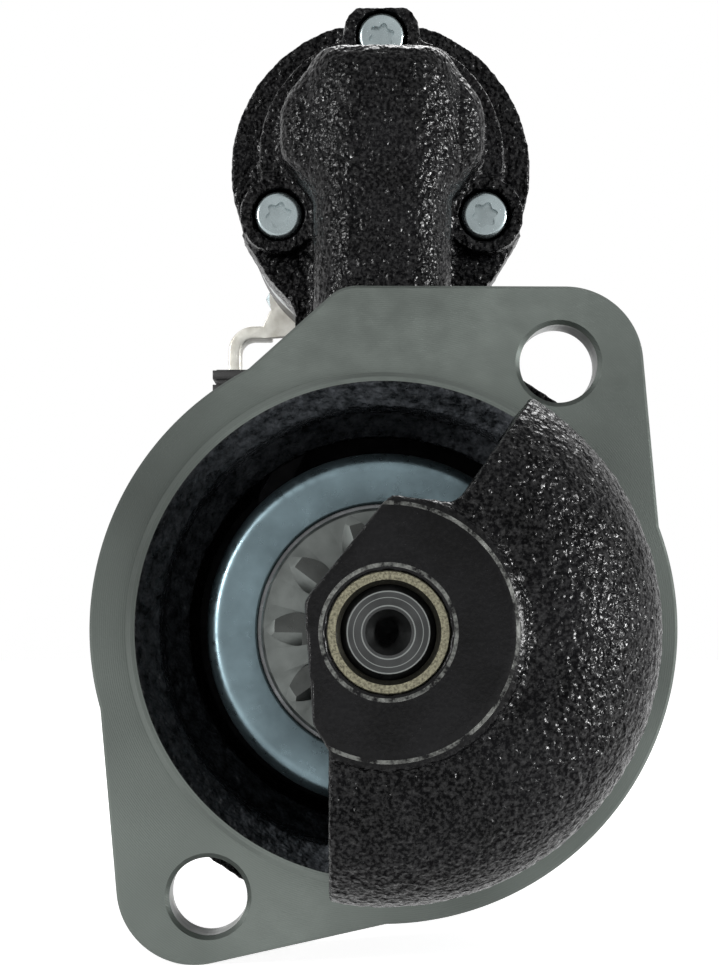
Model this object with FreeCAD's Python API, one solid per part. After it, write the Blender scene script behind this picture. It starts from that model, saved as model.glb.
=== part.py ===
import FreeCAD, Part
import math
import os

from FreeCAD import Vector

# Pre-engaged starter motor with a planetary reduction and a shift lever.
# Millimetres. The shaft lies along Y with the nose towards -Y, Z is up, and the origin is where
# the shaft axis meets the front face of the mounting flange.

# Fits
RUN = 0.05  # radial clearance of a shaft or pin in its bush
SLIDE = 0.15  # clearance of a piece that slides in a guide
SEAT = 0.2  # clearance of a piece laid in a recess
SPRING_SEAT = 0.1  # clearance at each end of a spring

# Mounting flange and pilot
FLANGE_THICK = 12.0
FLANGE_BODY_R = 49.0
BOLT_X = 29.2
BOLT_Z = 44.4
BOLT_HOLE_R = 6.5
BOLT_HOLE_CHAMFER = 0.75
LOBE_R = 13.0
PILOT_R = 42.5
PILOT_HEIGHT = 6.0
PILOT_CHAMFER = 0.8
PILOT_MOUTH_R = 41.0
CAVITY_FRONT_R = 37.0
CAVITY_R = 33.0

# Housing behind the flange
NECK_R = 41.5
REAR_BODY_LONG = 29.0
REAR_BODY_R = 51.0
BODY_FLAT = 50.2
HOUSING_DEPTH = 52.0

# Nose
NOSE_REACH = 60.0
NOSE_DISC_R = 20.0
NOSE_SHOULDER = 42.0
NOSE_WALL = 6.5
NOSE_END_WALL = 13.0
WINDOW_X = 8.9
WINDOW_TIP_X = 22.5
WINDOW_TIP_Z = 36.7
CAST_ROUND = 2.0

# Output shaft and its bearings
SHAFT_R = 7.0
SHAFT_RECESS = 1.2
CENTRE_DRILL_R = 3.4
BUSH_WALL = 2.0
SPLINE_R = 10.0
SPLINE_ROOT_R = 8.8
SPLINE_WIDTH = 4.0
SPLINE_COUNT = 8
SPLINE_START = 21.0
JOURNAL_R = 11.0
PLATE_THICK = 6.0
PLATE_HUB_R = 16.0
PLATE_HUB_LONG = 13.0
STOP_RING_R = 10.5
STOP_RING_LONG = 2.7
SNAP_WIRE = 1.6

# Pinion and overrunning clutch, in their rest position
PINION_TEETH = 10
PINION_MODULE = 3.0
PINION_SHIFT = 0.42
PINION_LONG = 19.0
PINION_COLLAR_R = 20.4
PINION_COLLAR_LONG = 2.0
DRIVE_TRAVEL = 18.0
CAP_R = 29.6
CAP_MOUTH_R = 21.0
CAP_FRONT = 1.0
CAP_SHEET = 1.2
CAP_BEND = 3.0
CLUTCH_REAR = 25.0
CLUTCH_WALL = 4.0
INNER_RACE_R = 14.0
ROLLER_R = 3.5
ROLLER_COUNT = 5
ROLLER_SPRING_ROOM = 6.5
WASHER_THICK = 1.8
SLEEVE_R = 13.0
SLEEVE_CLEAR = 4.0
GUIDE_R = 18.0
GUIDE_LONG = 8.0
GUIDE_PIN_R = 3.0
GUIDE_PIN_LONG = 4.0
DISC_SPRING_SHEET = 1.0
DISC_SPRING_COUNT = 3
CLIP_THICK = 1.6

# Shift lever
LEVER_PIVOT_DEEP = 23.0
LEVER_PIVOT_Z = 51.0
LEVER_PIN_R = 3.5
LEVER_HUB_WALL = 3.0
LEVER_THICK = 6.0
LEVER_DEEP = 5.0
LEVER_TIP_R = 3.5
FORK_THICK = 3.2

# Planetary gears
FRAME_PER_MODULE = 38.0
SUN_TEETH = 17
PLANET_TEETH = 16
PLANET_COUNT = 3
PLANET_PIN_R = 4.0
GEAR_LONG = 11.5
CARRIER_RIM = 5.875
CARRIER_THICK = 6.0
SHIELD_DISC_THICK = 2.0
BACKLASH = 0.08
SUN_PHASE = 0.0

# Motor
FRAME_R = 47.5
FRAME_WALL = 6.0
FRAME_STEP = 1.0
FRAME_LONG = 118.0
POLE_COUNT = 4
POLE_LONG = 54.0
POLE_TIP_THICK = 4.0
POLE_TIP_ANGLE = 33.0
POLE_CORE_ANGLE = 16.0
COIL_ANGLE = 28.0
COIL_OVERHANG = 6.5
POLE_SCREW_R = 4.0
AIR_GAP = 0.6
ARMATURE_SHARE = 12 / 19
ARMATURE_SLOTS = 20
ARMATURE_SHAFT_R = 8.5
STACK_FROM_SHIELD = 14.0
PILOT_JOURNAL_R = 5.0
REAR_JOURNAL_R = 6.0
COMMUTATOR_SHARE = 0.6
COMMUTATOR_LONG = 22.0
COMMUTATOR_GAP = 8.0
REAR_SHIELD_LONG = 28.0
REAR_SHIELD_WALL = 3.5
REAR_HUB_R = 13.0
REAR_HUB_DEEP = 5.0
SHAFT_CAP_R = 15.0
SHAFT_CAP_LONG = 7.0
THROUGH_BOLT_R = 2.9
THROUGH_BOLT_GAP = 0.4
THROUGH_BOLT_ANGLE = 145.0
BRUSH_COUNT = 4
BRUSH_LONG = 14.0
BRUSH_WIDE = 8.0
BRUSH_TALL = 12.0
BRUSH_TRAVEL = 5.0
BRUSH_BOX_WALL = 1.2
BRUSH_SPRING_SOLID = 4.0
BRUSH_PLATE_GAP = 3.0
BRUSH_PLATE_THICK = 2.0

# Solenoid switch
SOLENOID_Z = 83.5
SOLENOID_R = 26.3
SOLENOID_WALL = 2.8
SOLENOID_LONG = 56.0
SOLENOID_FRONT_WALL = 7.0
SEAT_BACK = 4.0
SEAT_DEEP = 20.0
SEAT_PLATE_R = 27.4
SEAT_PLATE_THICK = 4.0
SCREW_CIRCLE = 21.0
EAR_R = 7.0
EAR_FLAT = 1.7
SCREW_HEAD_R = 3.75
SCREW_HEAD_LONG = 3.0
SCREW_SHANK_R = 2.4
PLUNGER_R = 11.0
PLUNGER_LONG = 34.0
HOOK_WIDE = 9.0
HOOK_SLOT = 9.0
BOBBIN_WALL = 0.8
CORE_LONG = 15.0
CORE_DISC_THICK = 9.0
CAP_LONG = 22.0
CAP_WALL = 3.5
STUD_R = 5.0
STUD_PROUD = 20.0
THREAD_HALF = 0.4
STUD_CIRCLE = 19.5
STUD_ANGLE = 226.0
NUT_FLATS = 17.0
NUT_THICK = 7.0
CONTACT_TRAVEL = 2.95
ROD_R = 3.0
CONTROL_STUD_R = 2.4
CONTROL_PROUD = 13.0
CONTROL_THREAD_HALF = 0.2
CONTROL_NUT_FLATS = 8.0
CONTROL_NUT_THICK = 4.0

# Motor lead
LUG_THICK = 2.4
LEAD_INSET = 16.3
LEAD_LINK = 7.2
LEAD_RISE = 15.9
LEAD_THICK = 2.6
LEAD_DEEP = 10.0
LEAD_BEND = 5.4
GROMMET_WALL = 2.4

# Lever housing in front of the solenoid seat
BULB_X = 17.8
BULB_TOP_X = 10.5
BULB_TOP = 16.5
BULB_PROUD = 21.0
BULB_ROUND = 3.0
STEM_X = 12.0
SADDLE_X = 15.5
BOSS_R = 21.8
CHAMBER_WALL = 3.4


# Places that follow from the sizes above
BOLT_ANGLE = math.degrees(math.atan2(BOLT_Z, BOLT_X))
GEAR_MODULE = FRAME_R / FRAME_PER_MODULE
PITCH_R_SUN = GEAR_MODULE * SUN_TEETH / 2
PITCH_R_PLANET = GEAR_MODULE * PLANET_TEETH / 2
RING_TEETH = SUN_TEETH + 2 * PLANET_TEETH
PITCH_R_RING = GEAR_MODULE * RING_TEETH / 2
PLANET_CIRCLE = PITCH_R_SUN + PITCH_R_PLANET
CARRIER_R = PLANET_CIRCLE + CARRIER_RIM
PLATE_REAR = HOUSING_DEPTH + PLATE_THICK
HUB_FRONT = HOUSING_DEPTH - 2.0
HUB_REAR = HUB_FRONT + PLATE_HUB_LONG
CARRIER_FRONT = HUB_REAR + 1.0
CARRIER_REAR = CARRIER_FRONT + CARRIER_THICK
PLANET_FRONT = CARRIER_REAR + 0.5
PLANET_REAR = PLANET_FRONT + GEAR_LONG
SHIELD_DISC_FRONT = PLANET_REAR + 2.0
SHIELD_DISC_REAR = SHIELD_DISC_FRONT + SHIELD_DISC_THICK
FRAME_REAR = HOUSING_DEPTH + FRAME_LONG
FRAME_BORE_R = FRAME_R - FRAME_WALL
ARMATURE_R = FRAME_R * ARMATURE_SHARE
COMMUTATOR_R = ARMATURE_R * COMMUTATOR_SHARE
THROUGH_BOLT_CIRCLE = FRAME_BORE_R - THROUGH_BOLT_R - THROUGH_BOLT_GAP
BRUSH_PLATE_R = FRAME_R - REAR_SHIELD_WALL - BRUSH_PLATE_GAP
LEAD_TOP_Z = FRAME_R + LEAD_RISE
LEAD_X = FRAME_R - LEAD_INSET
STACK_R = FRAME_BORE_R + FRAME_STEP - SEAT
STACK_FRONT = SHIELD_DISC_REAR + STACK_FROM_SHIELD
STACK_REAR = STACK_FRONT + POLE_LONG
COMMUTATOR_FRONT = STACK_REAR + COMMUTATOR_GAP
COMMUTATOR_REAR = COMMUTATOR_FRONT + COMMUTATOR_LONG
SHIELD_REAR = FRAME_REAR + REAR_SHIELD_LONG
SHIELD_FLOOR = SHIELD_REAR - REAR_SHIELD_WALL
HUB_END = SHIELD_REAR + 6.0
BRUSH_PLATE_REAR = SHIELD_FLOOR - 2.5
BRUSH_PLATE_FRONT = BRUSH_PLATE_REAR - BRUSH_PLATE_THICK
BRUSH_FRONT = COMMUTATOR_FRONT + 6.0
SEAT_REAR = HOUSING_DEPTH - SEAT_BACK
SEAT_FRONT = SEAT_REAR - SEAT_DEEP
BULB_FRONT = SEAT_FRONT - BULB_PROUD
SOLENOID_REAR = SEAT_REAR + SOLENOID_LONG
SOLENOID_BORE_R = SOLENOID_R - SOLENOID_WALL
SLEEVE_REAR = HOUSING_DEPTH - SLEEVE_CLEAR
LEVER_PIVOT_Y = HOUSING_DEPTH - LEVER_PIVOT_DEEP
LEVER_SWING = math.asin(DRIVE_TRAVEL / 2 / LEVER_PIVOT_Z)
PLUNGER_TRAVEL = 2 * (SOLENOID_Z - LEVER_PIVOT_Z) * math.sin(LEVER_SWING)
GUIDE_Y = LEVER_PIVOT_Y + DRIVE_TRAVEL / 2
LEVER_TIP_Y = LEVER_PIVOT_Y - PLUNGER_TRAVEL / 2
PLUNGER_FRONT = LEVER_TIP_Y + HOOK_SLOT / 2 + 4.0
PLUNGER_REAR = PLUNGER_FRONT + PLUNGER_LONG
CORE_FRONT = PLUNGER_REAR + PLUNGER_TRAVEL
CORE_REAR = CORE_FRONT + CORE_LONG
CONTACT_Y = SOLENOID_REAR + 4.0
STUD_HEAD_FRONT = CONTACT_Y + 2.0 + CONTACT_TRAVEL + RUN
CAP_REAR = SOLENOID_REAR + CAP_LONG
PINION_FRONT = -PINION_LONG
STOP_RING_REAR = PINION_FRONT - DRIVE_TRAVEL - 0.3
RACE_REAR = CLUTCH_REAR - CLUTCH_WALL
NOSE_INNER = -NOSE_REACH + NOSE_END_WALL


# Shapes

def rod(radius, start, end, x=0.0, z=0.0):
    """Cylinder along Y."""
    return Part.makeCylinder(radius, end - start, Vector(x, start, z), Vector(0, 1, 0))


def tube(outer, inner, start, end, x=0.0, z=0.0):
    """Hollow cylinder along Y."""
    return rod(outer, start, end, x, z).cut(rod(inner, start - 1, end + 1, x, z))


def closed_wire(points, place):
    """Wire through points; an entry of four numbers is an arc, by a middle point to its end."""
    edges = []
    last = place(*points[0][-2:])
    for entry in points[1:] + [points[0][-2:]]:
        end = place(*entry[-2:])
        if len(entry) == 4:
            edges.append(Part.Arc(last, place(*entry[:2]), end).toShape())
        elif (end - last).Length > 1e-6:
            edges.append(Part.LineSegment(last, end).toShape())
        last = end
    return Part.Wire(edges)


def lathe(profile, x=0.0, z=0.0):
    """Solid turned about the Y axis at (x, z) from (y, radius) points."""
    face = Part.Face(closed_wire(profile, lambda y, r: Vector(x + r, y, z)))
    return face.revolve(Vector(x, 0, z), Vector(0, 1, 0), 360)


def prism(outline, start, end):
    """Solid with an (x, z) outline between two places on Y."""
    face = Part.Face(closed_wire(outline, lambda x, z: Vector(x, start, z)))
    return face.extrude(Vector(0, end - start, 0))


def rounded(corners):
    """Outline entries for (x, z, corner radius) corners, with each corner as an arc."""
    entries = []
    count = len(corners)
    for i, (x, z, radius) in enumerate(corners):
        here = Vector(x, 0, z)
        if radius == 0:
            entries.append((x, z))
            continue
        before = Vector(corners[i - 1][0], 0, corners[i - 1][1]) - here
        after = Vector(corners[(i + 1) % count][0], 0, corners[(i + 1) % count][1]) - here
        half = before.getAngle(after) / 2
        before.normalize()
        after.normalize()
        into = here + before * (radius / math.tan(half))
        out = here + after * (radius / math.tan(half))
        bisector = before + after
        bisector.normalize()
        middle = here + bisector * (radius / math.sin(half) - radius)
        entries.append((into.x, into.z))
        entries.append((middle.x, middle.z, out.x, out.z))
    return entries


def box(x0, x1, y0, y1, z0, z1):
    """Box between its opposite corners."""
    return Part.makeBox(x1 - x0, y1 - y0, z1 - z0, Vector(x0, y0, z0))


def turned(shape, angle, x=0.0, z=0.0):
    """Copy turned about the Y axis at (x, z), anticlockwise as seen from the nose."""
    copy = shape.copy()
    copy.rotate(Vector(x, 0, z), Vector(0, -1, 0), angle)
    return copy


def moved(shape, x=0.0, y=0.0, z=0.0):
    """Copy moved by a distance."""
    copy = shape.copy()
    copy.translate(Vector(x, y, z))
    return copy


def ring_of(shape, count, phase=0.0):
    """Copies of a shape evenly round the shaft axis."""
    return [turned(shape, phase + 360.0 * i / count) for i in range(count)]


def fuse(shapes):
    """One solid from shapes that touch."""
    return shapes[0].multiFuse(shapes[1:]).removeSplitter()


def sector(inner, outer, half_angle, start, end):
    """Curved block about the +X direction, between two radii and two places on Y."""
    a = math.radians(half_angle)
    c, s = math.cos(a), math.sin(a)
    outline = [
        (inner * c, -inner * s),
        (outer * c, -outer * s),
        (outer, 0, outer * c, outer * s),
        (inner * c, inner * s),
        (inner, 0, inner * c, -inner * s),
    ]
    return prism(outline, start, end)


def hexagon(flats, start, end, x=0.0, z=0.0, angle=0.0):
    """Hexagonal block along Y with a corner at the given angle."""
    corner = flats / math.sqrt(3)
    points = []
    for i in range(6):
        a = math.radians(angle + 60 * i)
        points.append((x + corner * math.cos(a), z + corner * math.sin(a)))
    return prism(points, start, end)


def coil_spring(mean_r, wire, length, turns):
    """Round-wire helical spring standing on the origin along +Z, with its ends inside length."""
    height = length - wire
    helix = Part.makeLongHelix(height / turns, height, mean_r)
    section = Part.Wire(Part.makeCircle(wire / 2, Vector(mean_r, 0, 0), Vector(0, 1, 0)))
    spring = Part.Wire(helix).makePipeShell([section], True, True)
    return moved(spring, z=wire / 2)


def spring_along_y(mean_r, wire, start, end, turns, x=0.0, z=0.0):
    """Helical spring between two places on Y."""
    spring = coil_spring(mean_r, wire, end - start, turns)
    spring.rotate(Vector(0, 0, 0), Vector(1, 0, 0), -90)
    spring.translate(Vector(x, start, z))
    return spring


def involute_gear(teeth, module, tip_r, root_r, start, end, phase, thicker=0.0, shift=0.0):
    """Spur gear along Y with a tooth at the phase angle; thicker widens it at the pitch circle."""
    pitch_r = module * teeth / 2
    pressure = math.radians(20)
    base_r = pitch_r * math.cos(pressure)
    spread = math.tan(pressure) - pressure
    half = (math.pi / 2 + 2 * shift * math.tan(pressure)) / teeth + thicker / 2 / pitch_r + spread
    low_r = max(base_r * 1.001, root_r)
    steps = 4
    flank = []
    if root_r < low_r:
        flank.append((root_r, half))
    for i in range(steps + 1):
        r = low_r + (tip_r - low_r) * i / steps
        at = math.acos(base_r / r)
        flank.append((r, half - (math.tan(at) - at)))

    def place(r, a):
        return Vector(r * math.cos(a), start, r * math.sin(a))

    edges = []
    for tooth in range(teeth):
        centre = math.radians(phase) + 2 * math.pi * tooth / teeth
        rising = [place(r, centre - a) for r, a in flank]
        falling = [place(r, centre + a) for r, a in reversed(flank)]
        after = centre + 2 * math.pi / teeth
        foot = place(flank[0][0], after - flank[0][1])
        for points in (rising, falling):
            for a, b in zip(points, points[1:]):
                edges.append(Part.LineSegment(a, b).toShape())
        edges.append(Part.Arc(rising[-1], place(tip_r, centre), falling[0]).toShape())
        low = place(flank[0][0], centre + math.pi / teeth)
        edges.append(Part.Arc(falling[-1], low, foot).toShape())
    wire = Part.Wire(Part.__sortEdges__(edges))
    return Part.Face(wire).extrude(Vector(0, end - start, 0))


# Drive end housing: one casting with the flange, the pilot, the half-open nose, the body that
# takes the motor and the lever housing that carries the solenoid.

def flange():
    upper = [
        (-22.4, BOLT_Z - 0.8, 0),
        (-7.0, BOLT_Z + LOBE_R, 7.0),
        (BOLT_X + LOBE_R, BOLT_Z + LOBE_R - 0.2, LOBE_R),
        (FLANGE_BODY_R - 3.0, 16.0, 0),
        (0, 0, 0),
    ]
    lower = [
        (4.0, -FLANGE_BODY_R + 0.8, 0),
        (-BOLT_X - LOBE_R - 1.0, -BOLT_Z - LOBE_R - 1.4, LOBE_R),
        (-FLANGE_BODY_R + 1.8, -13.0, 0),
        (0, 0, 0),
    ]
    plate = [rod(FLANGE_BODY_R, 0, FLANGE_THICK)]
    plate += [prism(rounded(lobe), 0, FLANGE_THICK) for lobe in (upper, lower)]
    return fuse(plate)


def flange_hole():
    """A bolt hole with a chamfer at both faces."""
    wide = BOLT_HOLE_R + BOLT_HOLE_CHAMFER
    profile = [
        (0, 0),
        (0, wide),
        (BOLT_HOLE_CHAMFER, BOLT_HOLE_R),
        (FLANGE_THICK - BOLT_HOLE_CHAMFER, BOLT_HOLE_R),
        (FLANGE_THICK, wide),
        (FLANGE_THICK, 0),
    ]
    return profile


def nose_outline():
    """Outer profile of the nose, from its end disc to the pilot."""
    shoulder = -NOSE_SHOULDER
    bend_y = -NOSE_REACH + (NOSE_REACH - NOSE_SHOULDER) * 0.36
    bend_r = NOSE_DISC_R + (PILOT_R - NOSE_DISC_R) * 0.69
    return [
        (0, 0),
        (-NOSE_REACH, 0),
        (-NOSE_REACH, NOSE_DISC_R - CAST_ROUND),
        (-NOSE_REACH + CAST_ROUND * 0.3, NOSE_DISC_R - CAST_ROUND * 0.3,
         -NOSE_REACH + CAST_ROUND, NOSE_DISC_R + CAST_ROUND * 0.6),
        (bend_y, bend_r, shoulder, PILOT_R - 0.3),
        (-PILOT_HEIGHT, PILOT_R),
        (0, PILOT_R),
    ]


def nose_hollow():
    """Inner profile of the nose."""
    shoulder = -NOSE_SHOULDER + 2.0
    inner_r = PILOT_R - NOSE_WALL
    face_r = NOSE_DISC_R + 2.0
    bend_y = NOSE_INNER + (shoulder - NOSE_INNER) * 0.36
    bend_r = face_r + (inner_r - face_r) * 0.69
    return [
        (1, 0),
        (NOSE_INNER, 0),
        (NOSE_INNER, face_r),
        (bend_y, bend_r, shoulder, inner_r),
        (1, inner_r),
    ]


def window():
    """The side of the nose that is left open for the ring gear of the engine."""
    far = PILOT_R * 1.6
    slope = math.tan(math.radians(58))
    return [
        (-WINDOW_X, -far, 0),
        (-WINDOW_X, -17.0, 1.2),
        (-11.0, -13.4, 1.2),
        (-12.3, 4.5, 1.5),
        (0.2, NOSE_DISC_R + 0.2, 2.0),
        (10.0, NOSE_DISC_R - 0.8, 2.0),
        (WINDOW_TIP_X, WINDOW_TIP_Z, 2.0),
        (WINDOW_TIP_X + far / slope, WINDOW_TIP_Z + far, 0),
        (-far, WINDOW_TIP_Z + far, 0),
        (-far, -far, 0),
    ]


def fork_chamber(wall):
    """Outline of the space that the fork swings in, grown by a wall."""
    return [
        (-23.5 - wall, 0, 0),
        (23.5 + wall, 0, 0),
        (23.5 + wall, 28.0 + wall, 4.0),
        (13.0 + wall, 46.0 + wall, 3.0),
        (-13.0 - wall, 46.0 + wall, 3.0),
        (-23.5 - wall, 28.0 + wall, 4.0),
    ]


def lever_housing():
    """Bulb and stem over the lever, stepped boss, solenoid seat and its three ears."""
    saddle = []
    bulb = []
    for x, drop, round_r in ((0, SOLENOID_Z - 30.0, 0), (0, 26.5, 3.0), (5.0, 21.0, 4.0), (9.5, 13.5, 0)):
        saddle.append((SADDLE_X + x, SOLENOID_Z - drop, round_r))
    for x, rise, round_r in ((STEM_X, -40.0, 0), (STEM_X, -9.0, 4.0), (BULB_X, -1.5, 5.0), (BULB_X, 7.0, 8.0)):
        bulb.append((x, SOLENOID_Z + rise, round_r))
    bulb.append((BULB_TOP_X, SOLENOID_Z + BULB_TOP, 5.0))
    saddle += [(-x, z, round_r) for x, z, round_r in reversed(saddle)]
    bulb += [(-x, z, round_r) for x, z, round_r in reversed(bulb)]
    bulb = prism(rounded(bulb), BULB_FRONT, SEAT_REAR)
    bulb = bulb.makeFillet(BULB_ROUND, [e for e in bulb.Edges if e.BoundBox.YMax < BULB_FRONT + 0.1])
    shapes = [
        rod(SEAT_PLATE_R, SEAT_REAR - SEAT_PLATE_THICK, SEAT_REAR, z=SOLENOID_Z),
        rod(BOSS_R, SEAT_FRONT, SEAT_REAR, z=SOLENOID_Z),
        bulb,
        prism(rounded(saddle), SEAT_FRONT + 4.0, SEAT_REAR),
    ]
    for x, z in screw_places():
        shapes.append(rod(EAR_R, SEAT_FRONT - 1.0, SEAT_REAR, x, z))
    ear_top = SOLENOID_Z + SCREW_CIRCLE + EAR_R
    flat = box(-2 * EAR_R, 2 * EAR_R, SEAT_FRONT - 2, SEAT_REAR + 1, ear_top - EAR_FLAT, ear_top + 1)
    return fuse(shapes).cut(flat)


def screw_places():
    """The three solenoid screws round the solenoid axis."""
    places = []
    for angle in (90, 210, 330):
        a = math.radians(angle)
        places.append((SCREW_CIRCLE * math.cos(a), SOLENOID_Z + SCREW_CIRCLE * math.sin(a)))
    return places


def through_bolt_places():
    """The two long bolts that hold the motor together."""
    places = []
    for angle in (THROUGH_BOLT_ANGLE, THROUGH_BOLT_ANGLE + 180):
        a = math.radians(angle)
        places.append((THROUGH_BOLT_CIRCLE * math.cos(a), THROUGH_BOLT_CIRCLE * math.sin(a)))
    return places


def drive_end_housing():
    neck_rear = HOUSING_DEPTH - REAR_BODY_LONG
    body = rod(REAR_BODY_R, neck_rear, HOUSING_DEPTH)
    flat = box(BODY_FLAT, BODY_FLAT + REAR_BODY_R, neck_rear - 1, HOUSING_DEPTH + 1, -60, 60)
    for side in (BOLT_ANGLE, BOLT_ANGLE + 180):
        body = body.cut(turned(flat, side))
    nose = lathe(nose_outline()).cut(lathe(nose_hollow()))
    nose = nose.cut(prism(rounded(window()), -NOSE_REACH - 1, -PILOT_HEIGHT))
    chamber_front = neck_rear - 2.0
    casting = fuse([
        flange(),
        lathe([
            (0, 0),
            (-PILOT_HEIGHT, 0),
            (-PILOT_HEIGHT, PILOT_R - PILOT_CHAMFER),
            (-PILOT_HEIGHT + PILOT_CHAMFER, PILOT_R),
            (0, PILOT_R),
        ]).cut(rod(PILOT_R - NOSE_WALL, -PILOT_HEIGHT - 1, 1)),
        nose,
        rod(NECK_R, FLANGE_THICK, neck_rear),
        body,
        lever_housing(),
        prism(rounded(fork_chamber(CHAMBER_WALL)), chamber_front - 2.0, HOUSING_DEPTH),
    ])
    bore = lathe([
        (-PILOT_HEIGHT, 0),
        (-PILOT_HEIGHT, PILOT_MOUTH_R),
        (-PILOT_HEIGHT + 5.0, CAVITY_FRONT_R),
        (FLANGE_THICK, CAVITY_FRONT_R),
        (FLANGE_THICK + 4.0, CAVITY_R),
        (HOUSING_DEPTH + 1, CAVITY_R),
        (HOUSING_DEPTH + 1, 0),
    ])
    open_side = prism(rounded(window()), -PILOT_HEIGHT - 1, 0)
    closed_side = rod(PILOT_R + 1, -PILOT_HEIGHT - 1, 0).cut(open_side)
    casting = casting.cut(bore.cut(closed_side))
    casting = casting.cut(rod(PILOT_R - NOSE_WALL, -PILOT_HEIGHT - 1, 1))
    casting = casting.cut(prism(rounded(fork_chamber(0)), chamber_front, HOUSING_DEPTH + 1))
    upper = LEVER_TIP_Y - HOOK_SLOT / 2 - 4.5
    arm = LEVER_THICK / 2 + 2.5
    casting = casting.cut(box(-arm, arm, chamber_front, SEAT_REAR + 1, 30, SOLENOID_Z))
    hub_r = LEVER_PIN_R + LEVER_HUB_WALL
    hub_x = hub_r + 3.4
    hub_top = LEVER_PIVOT_Z + hub_r + 1.0
    casting = casting.cut(box(-hub_x, hub_x, LEVER_PIVOT_Y - hub_r - 1, SEAT_REAR + 1, 40, hub_top))
    casting = casting.cut(rod(PLUNGER_R + 1.5, upper, SEAT_REAR + 1, z=SOLENOID_Z))
    casting = casting.cut(rod(SHAFT_R + RUN + BUSH_WALL, -NOSE_REACH - 1, NOSE_INNER + 1))
    for side in (1, -1):
        hole = lathe(flange_hole(), side * BOLT_X, side * BOLT_Z)
        casting = casting.cut(hole)
    for x, z in screw_places():
        casting = casting.cut(rod(SCREW_SHANK_R + 0.2, SEAT_FRONT - 2, SEAT_REAR + 1, x, z))
        counterbore = rod(SCREW_HEAD_R + 0.45, SEAT_FRONT - 2, SEAT_FRONT - 1 + SCREW_HEAD_LONG, x, z)
        casting = casting.cut(counterbore)
    for x, z in through_bolt_places():
        casting = casting.cut(rod(THROUGH_BOLT_R, HOUSING_DEPTH - 14.0, HOUSING_DEPTH + 1, x, z))
    pin_hole = Part.makeCylinder(
        LEVER_PIN_R, 2 * REAR_BODY_R, Vector(-REAR_BODY_R, LEVER_PIVOT_Y, LEVER_PIVOT_Z), Vector(1, 0, 0)
    )
    return casting.cut(pin_hole)


def nose_bush():
    outer = SHAFT_R + RUN + BUSH_WALL
    return tube(outer, SHAFT_R + RUN, -NOSE_REACH + 0.4, NOSE_INNER)


def lever_pin():
    half = SADDLE_X - 1.0
    return Part.makeCylinder(
        LEVER_PIN_R, 2 * half, Vector(-half, LEVER_PIVOT_Y, LEVER_PIVOT_Z), Vector(1, 0, 0)
    )


# Output shaft and bearing plate

def bearing_plate():
    plate = rod(STACK_R, HOUSING_DEPTH, PLATE_REAR)
    hub = rod(PLATE_HUB_R, HUB_FRONT, HUB_REAR)
    bored = fuse([plate, hub]).cut(rod(JOURNAL_R + RUN + BUSH_WALL, HUB_FRONT - 1, HUB_REAR + 1))
    return bored.cut(Part.makeCompound(through_bolt_holes(HOUSING_DEPTH - 1, PLATE_REAR + 1)))


def through_bolt_holes(start, end):
    return [rod(THROUGH_BOLT_R + 0.3, start, end, x, z) for x, z in through_bolt_places()]


def plate_bush():
    return tube(JOURNAL_R + RUN + BUSH_WALL, JOURNAL_R + RUN, HUB_FRONT, HUB_REAR)


def output_shaft():
    front = -NOSE_REACH + SHAFT_RECESS
    groove = SNAP_WIRE / 2
    ring_front = STOP_RING_REAR - STOP_RING_LONG
    bore_front = CARRIER_FRONT - 9.0
    shaft = lathe([
        (front, 0),
        (front, SHAFT_R - 0.9),
        (front + 0.9, SHAFT_R),
        (ring_front - SNAP_WIRE, SHAFT_R),
        (ring_front - SNAP_WIRE, SHAFT_R - groove),
        (ring_front, SHAFT_R - groove),
        (ring_front, SHAFT_R),
        (SPLINE_START, SHAFT_R),
        (SPLINE_START, SPLINE_ROOT_R),
        (HUB_FRONT - 1.0, SPLINE_ROOT_R),
        (HUB_FRONT - 1.0, JOURNAL_R),
        (CARRIER_FRONT - 0.5, JOURNAL_R),
        (CARRIER_FRONT - 0.5, JOURNAL_R + 3.0),
        (CARRIER_FRONT, JOURNAL_R + 3.0),
        (CARRIER_FRONT, CARRIER_R),
        (CARRIER_REAR, CARRIER_R),
        (CARRIER_REAR, 0),
    ])
    half = SPLINE_WIDTH / 2
    tooth = box(SPLINE_ROOT_R - 1, SPLINE_R, SPLINE_START, HUB_FRONT - 1.0, -half, half)
    shaft = fuse([shaft] + ring_of(tooth, SPLINE_COUNT))
    shaft = shaft.cut(rod(PILOT_JOURNAL_R + RUN + BUSH_WALL, bore_front, CARRIER_REAR + 1))
    drill = lathe([
        (front, 0),
        (front, CENTRE_DRILL_R),
        (front + 3.0, 1.6),
        (front + 7.0, 1.6),
        (front + 8.0, 0),
    ])
    pins = ring_of(rod(PLANET_PIN_R, CARRIER_FRONT, CARRIER_REAR + 1, PLANET_CIRCLE), PLANET_COUNT, 90)
    return shaft.cut(drill).cut(Part.makeCompound(pins))


def pilot_bush():
    front = CARRIER_FRONT - 9.0
    return tube(PILOT_JOURNAL_R + RUN + BUSH_WALL, PILOT_JOURNAL_R + RUN, front + 1.0, CARRIER_REAR)


def planet_pins():
    pin = rod(PLANET_PIN_R, CARRIER_FRONT, PLANET_REAR + 0.8, PLANET_CIRCLE)
    return Part.makeCompound(ring_of(pin, PLANET_COUNT, 90))


def stop_ring():
    """Stop for the pinion, with the split snap ring that holds it in the shaft's groove."""
    front = STOP_RING_REAR - STOP_RING_LONG
    stop = tube(STOP_RING_R, SHAFT_R, front, STOP_RING_REAR)
    snap = tube(SHAFT_R + SNAP_WIRE / 2, SHAFT_R - SNAP_WIRE / 2, front - SNAP_WIRE, front)
    snap = snap.cut(box(0, STOP_RING_R, front - SNAP_WIRE - 1, front + 1, -1.5, 1.5))
    return Part.makeCompound([stop, snap])


# Planetary gears

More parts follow.
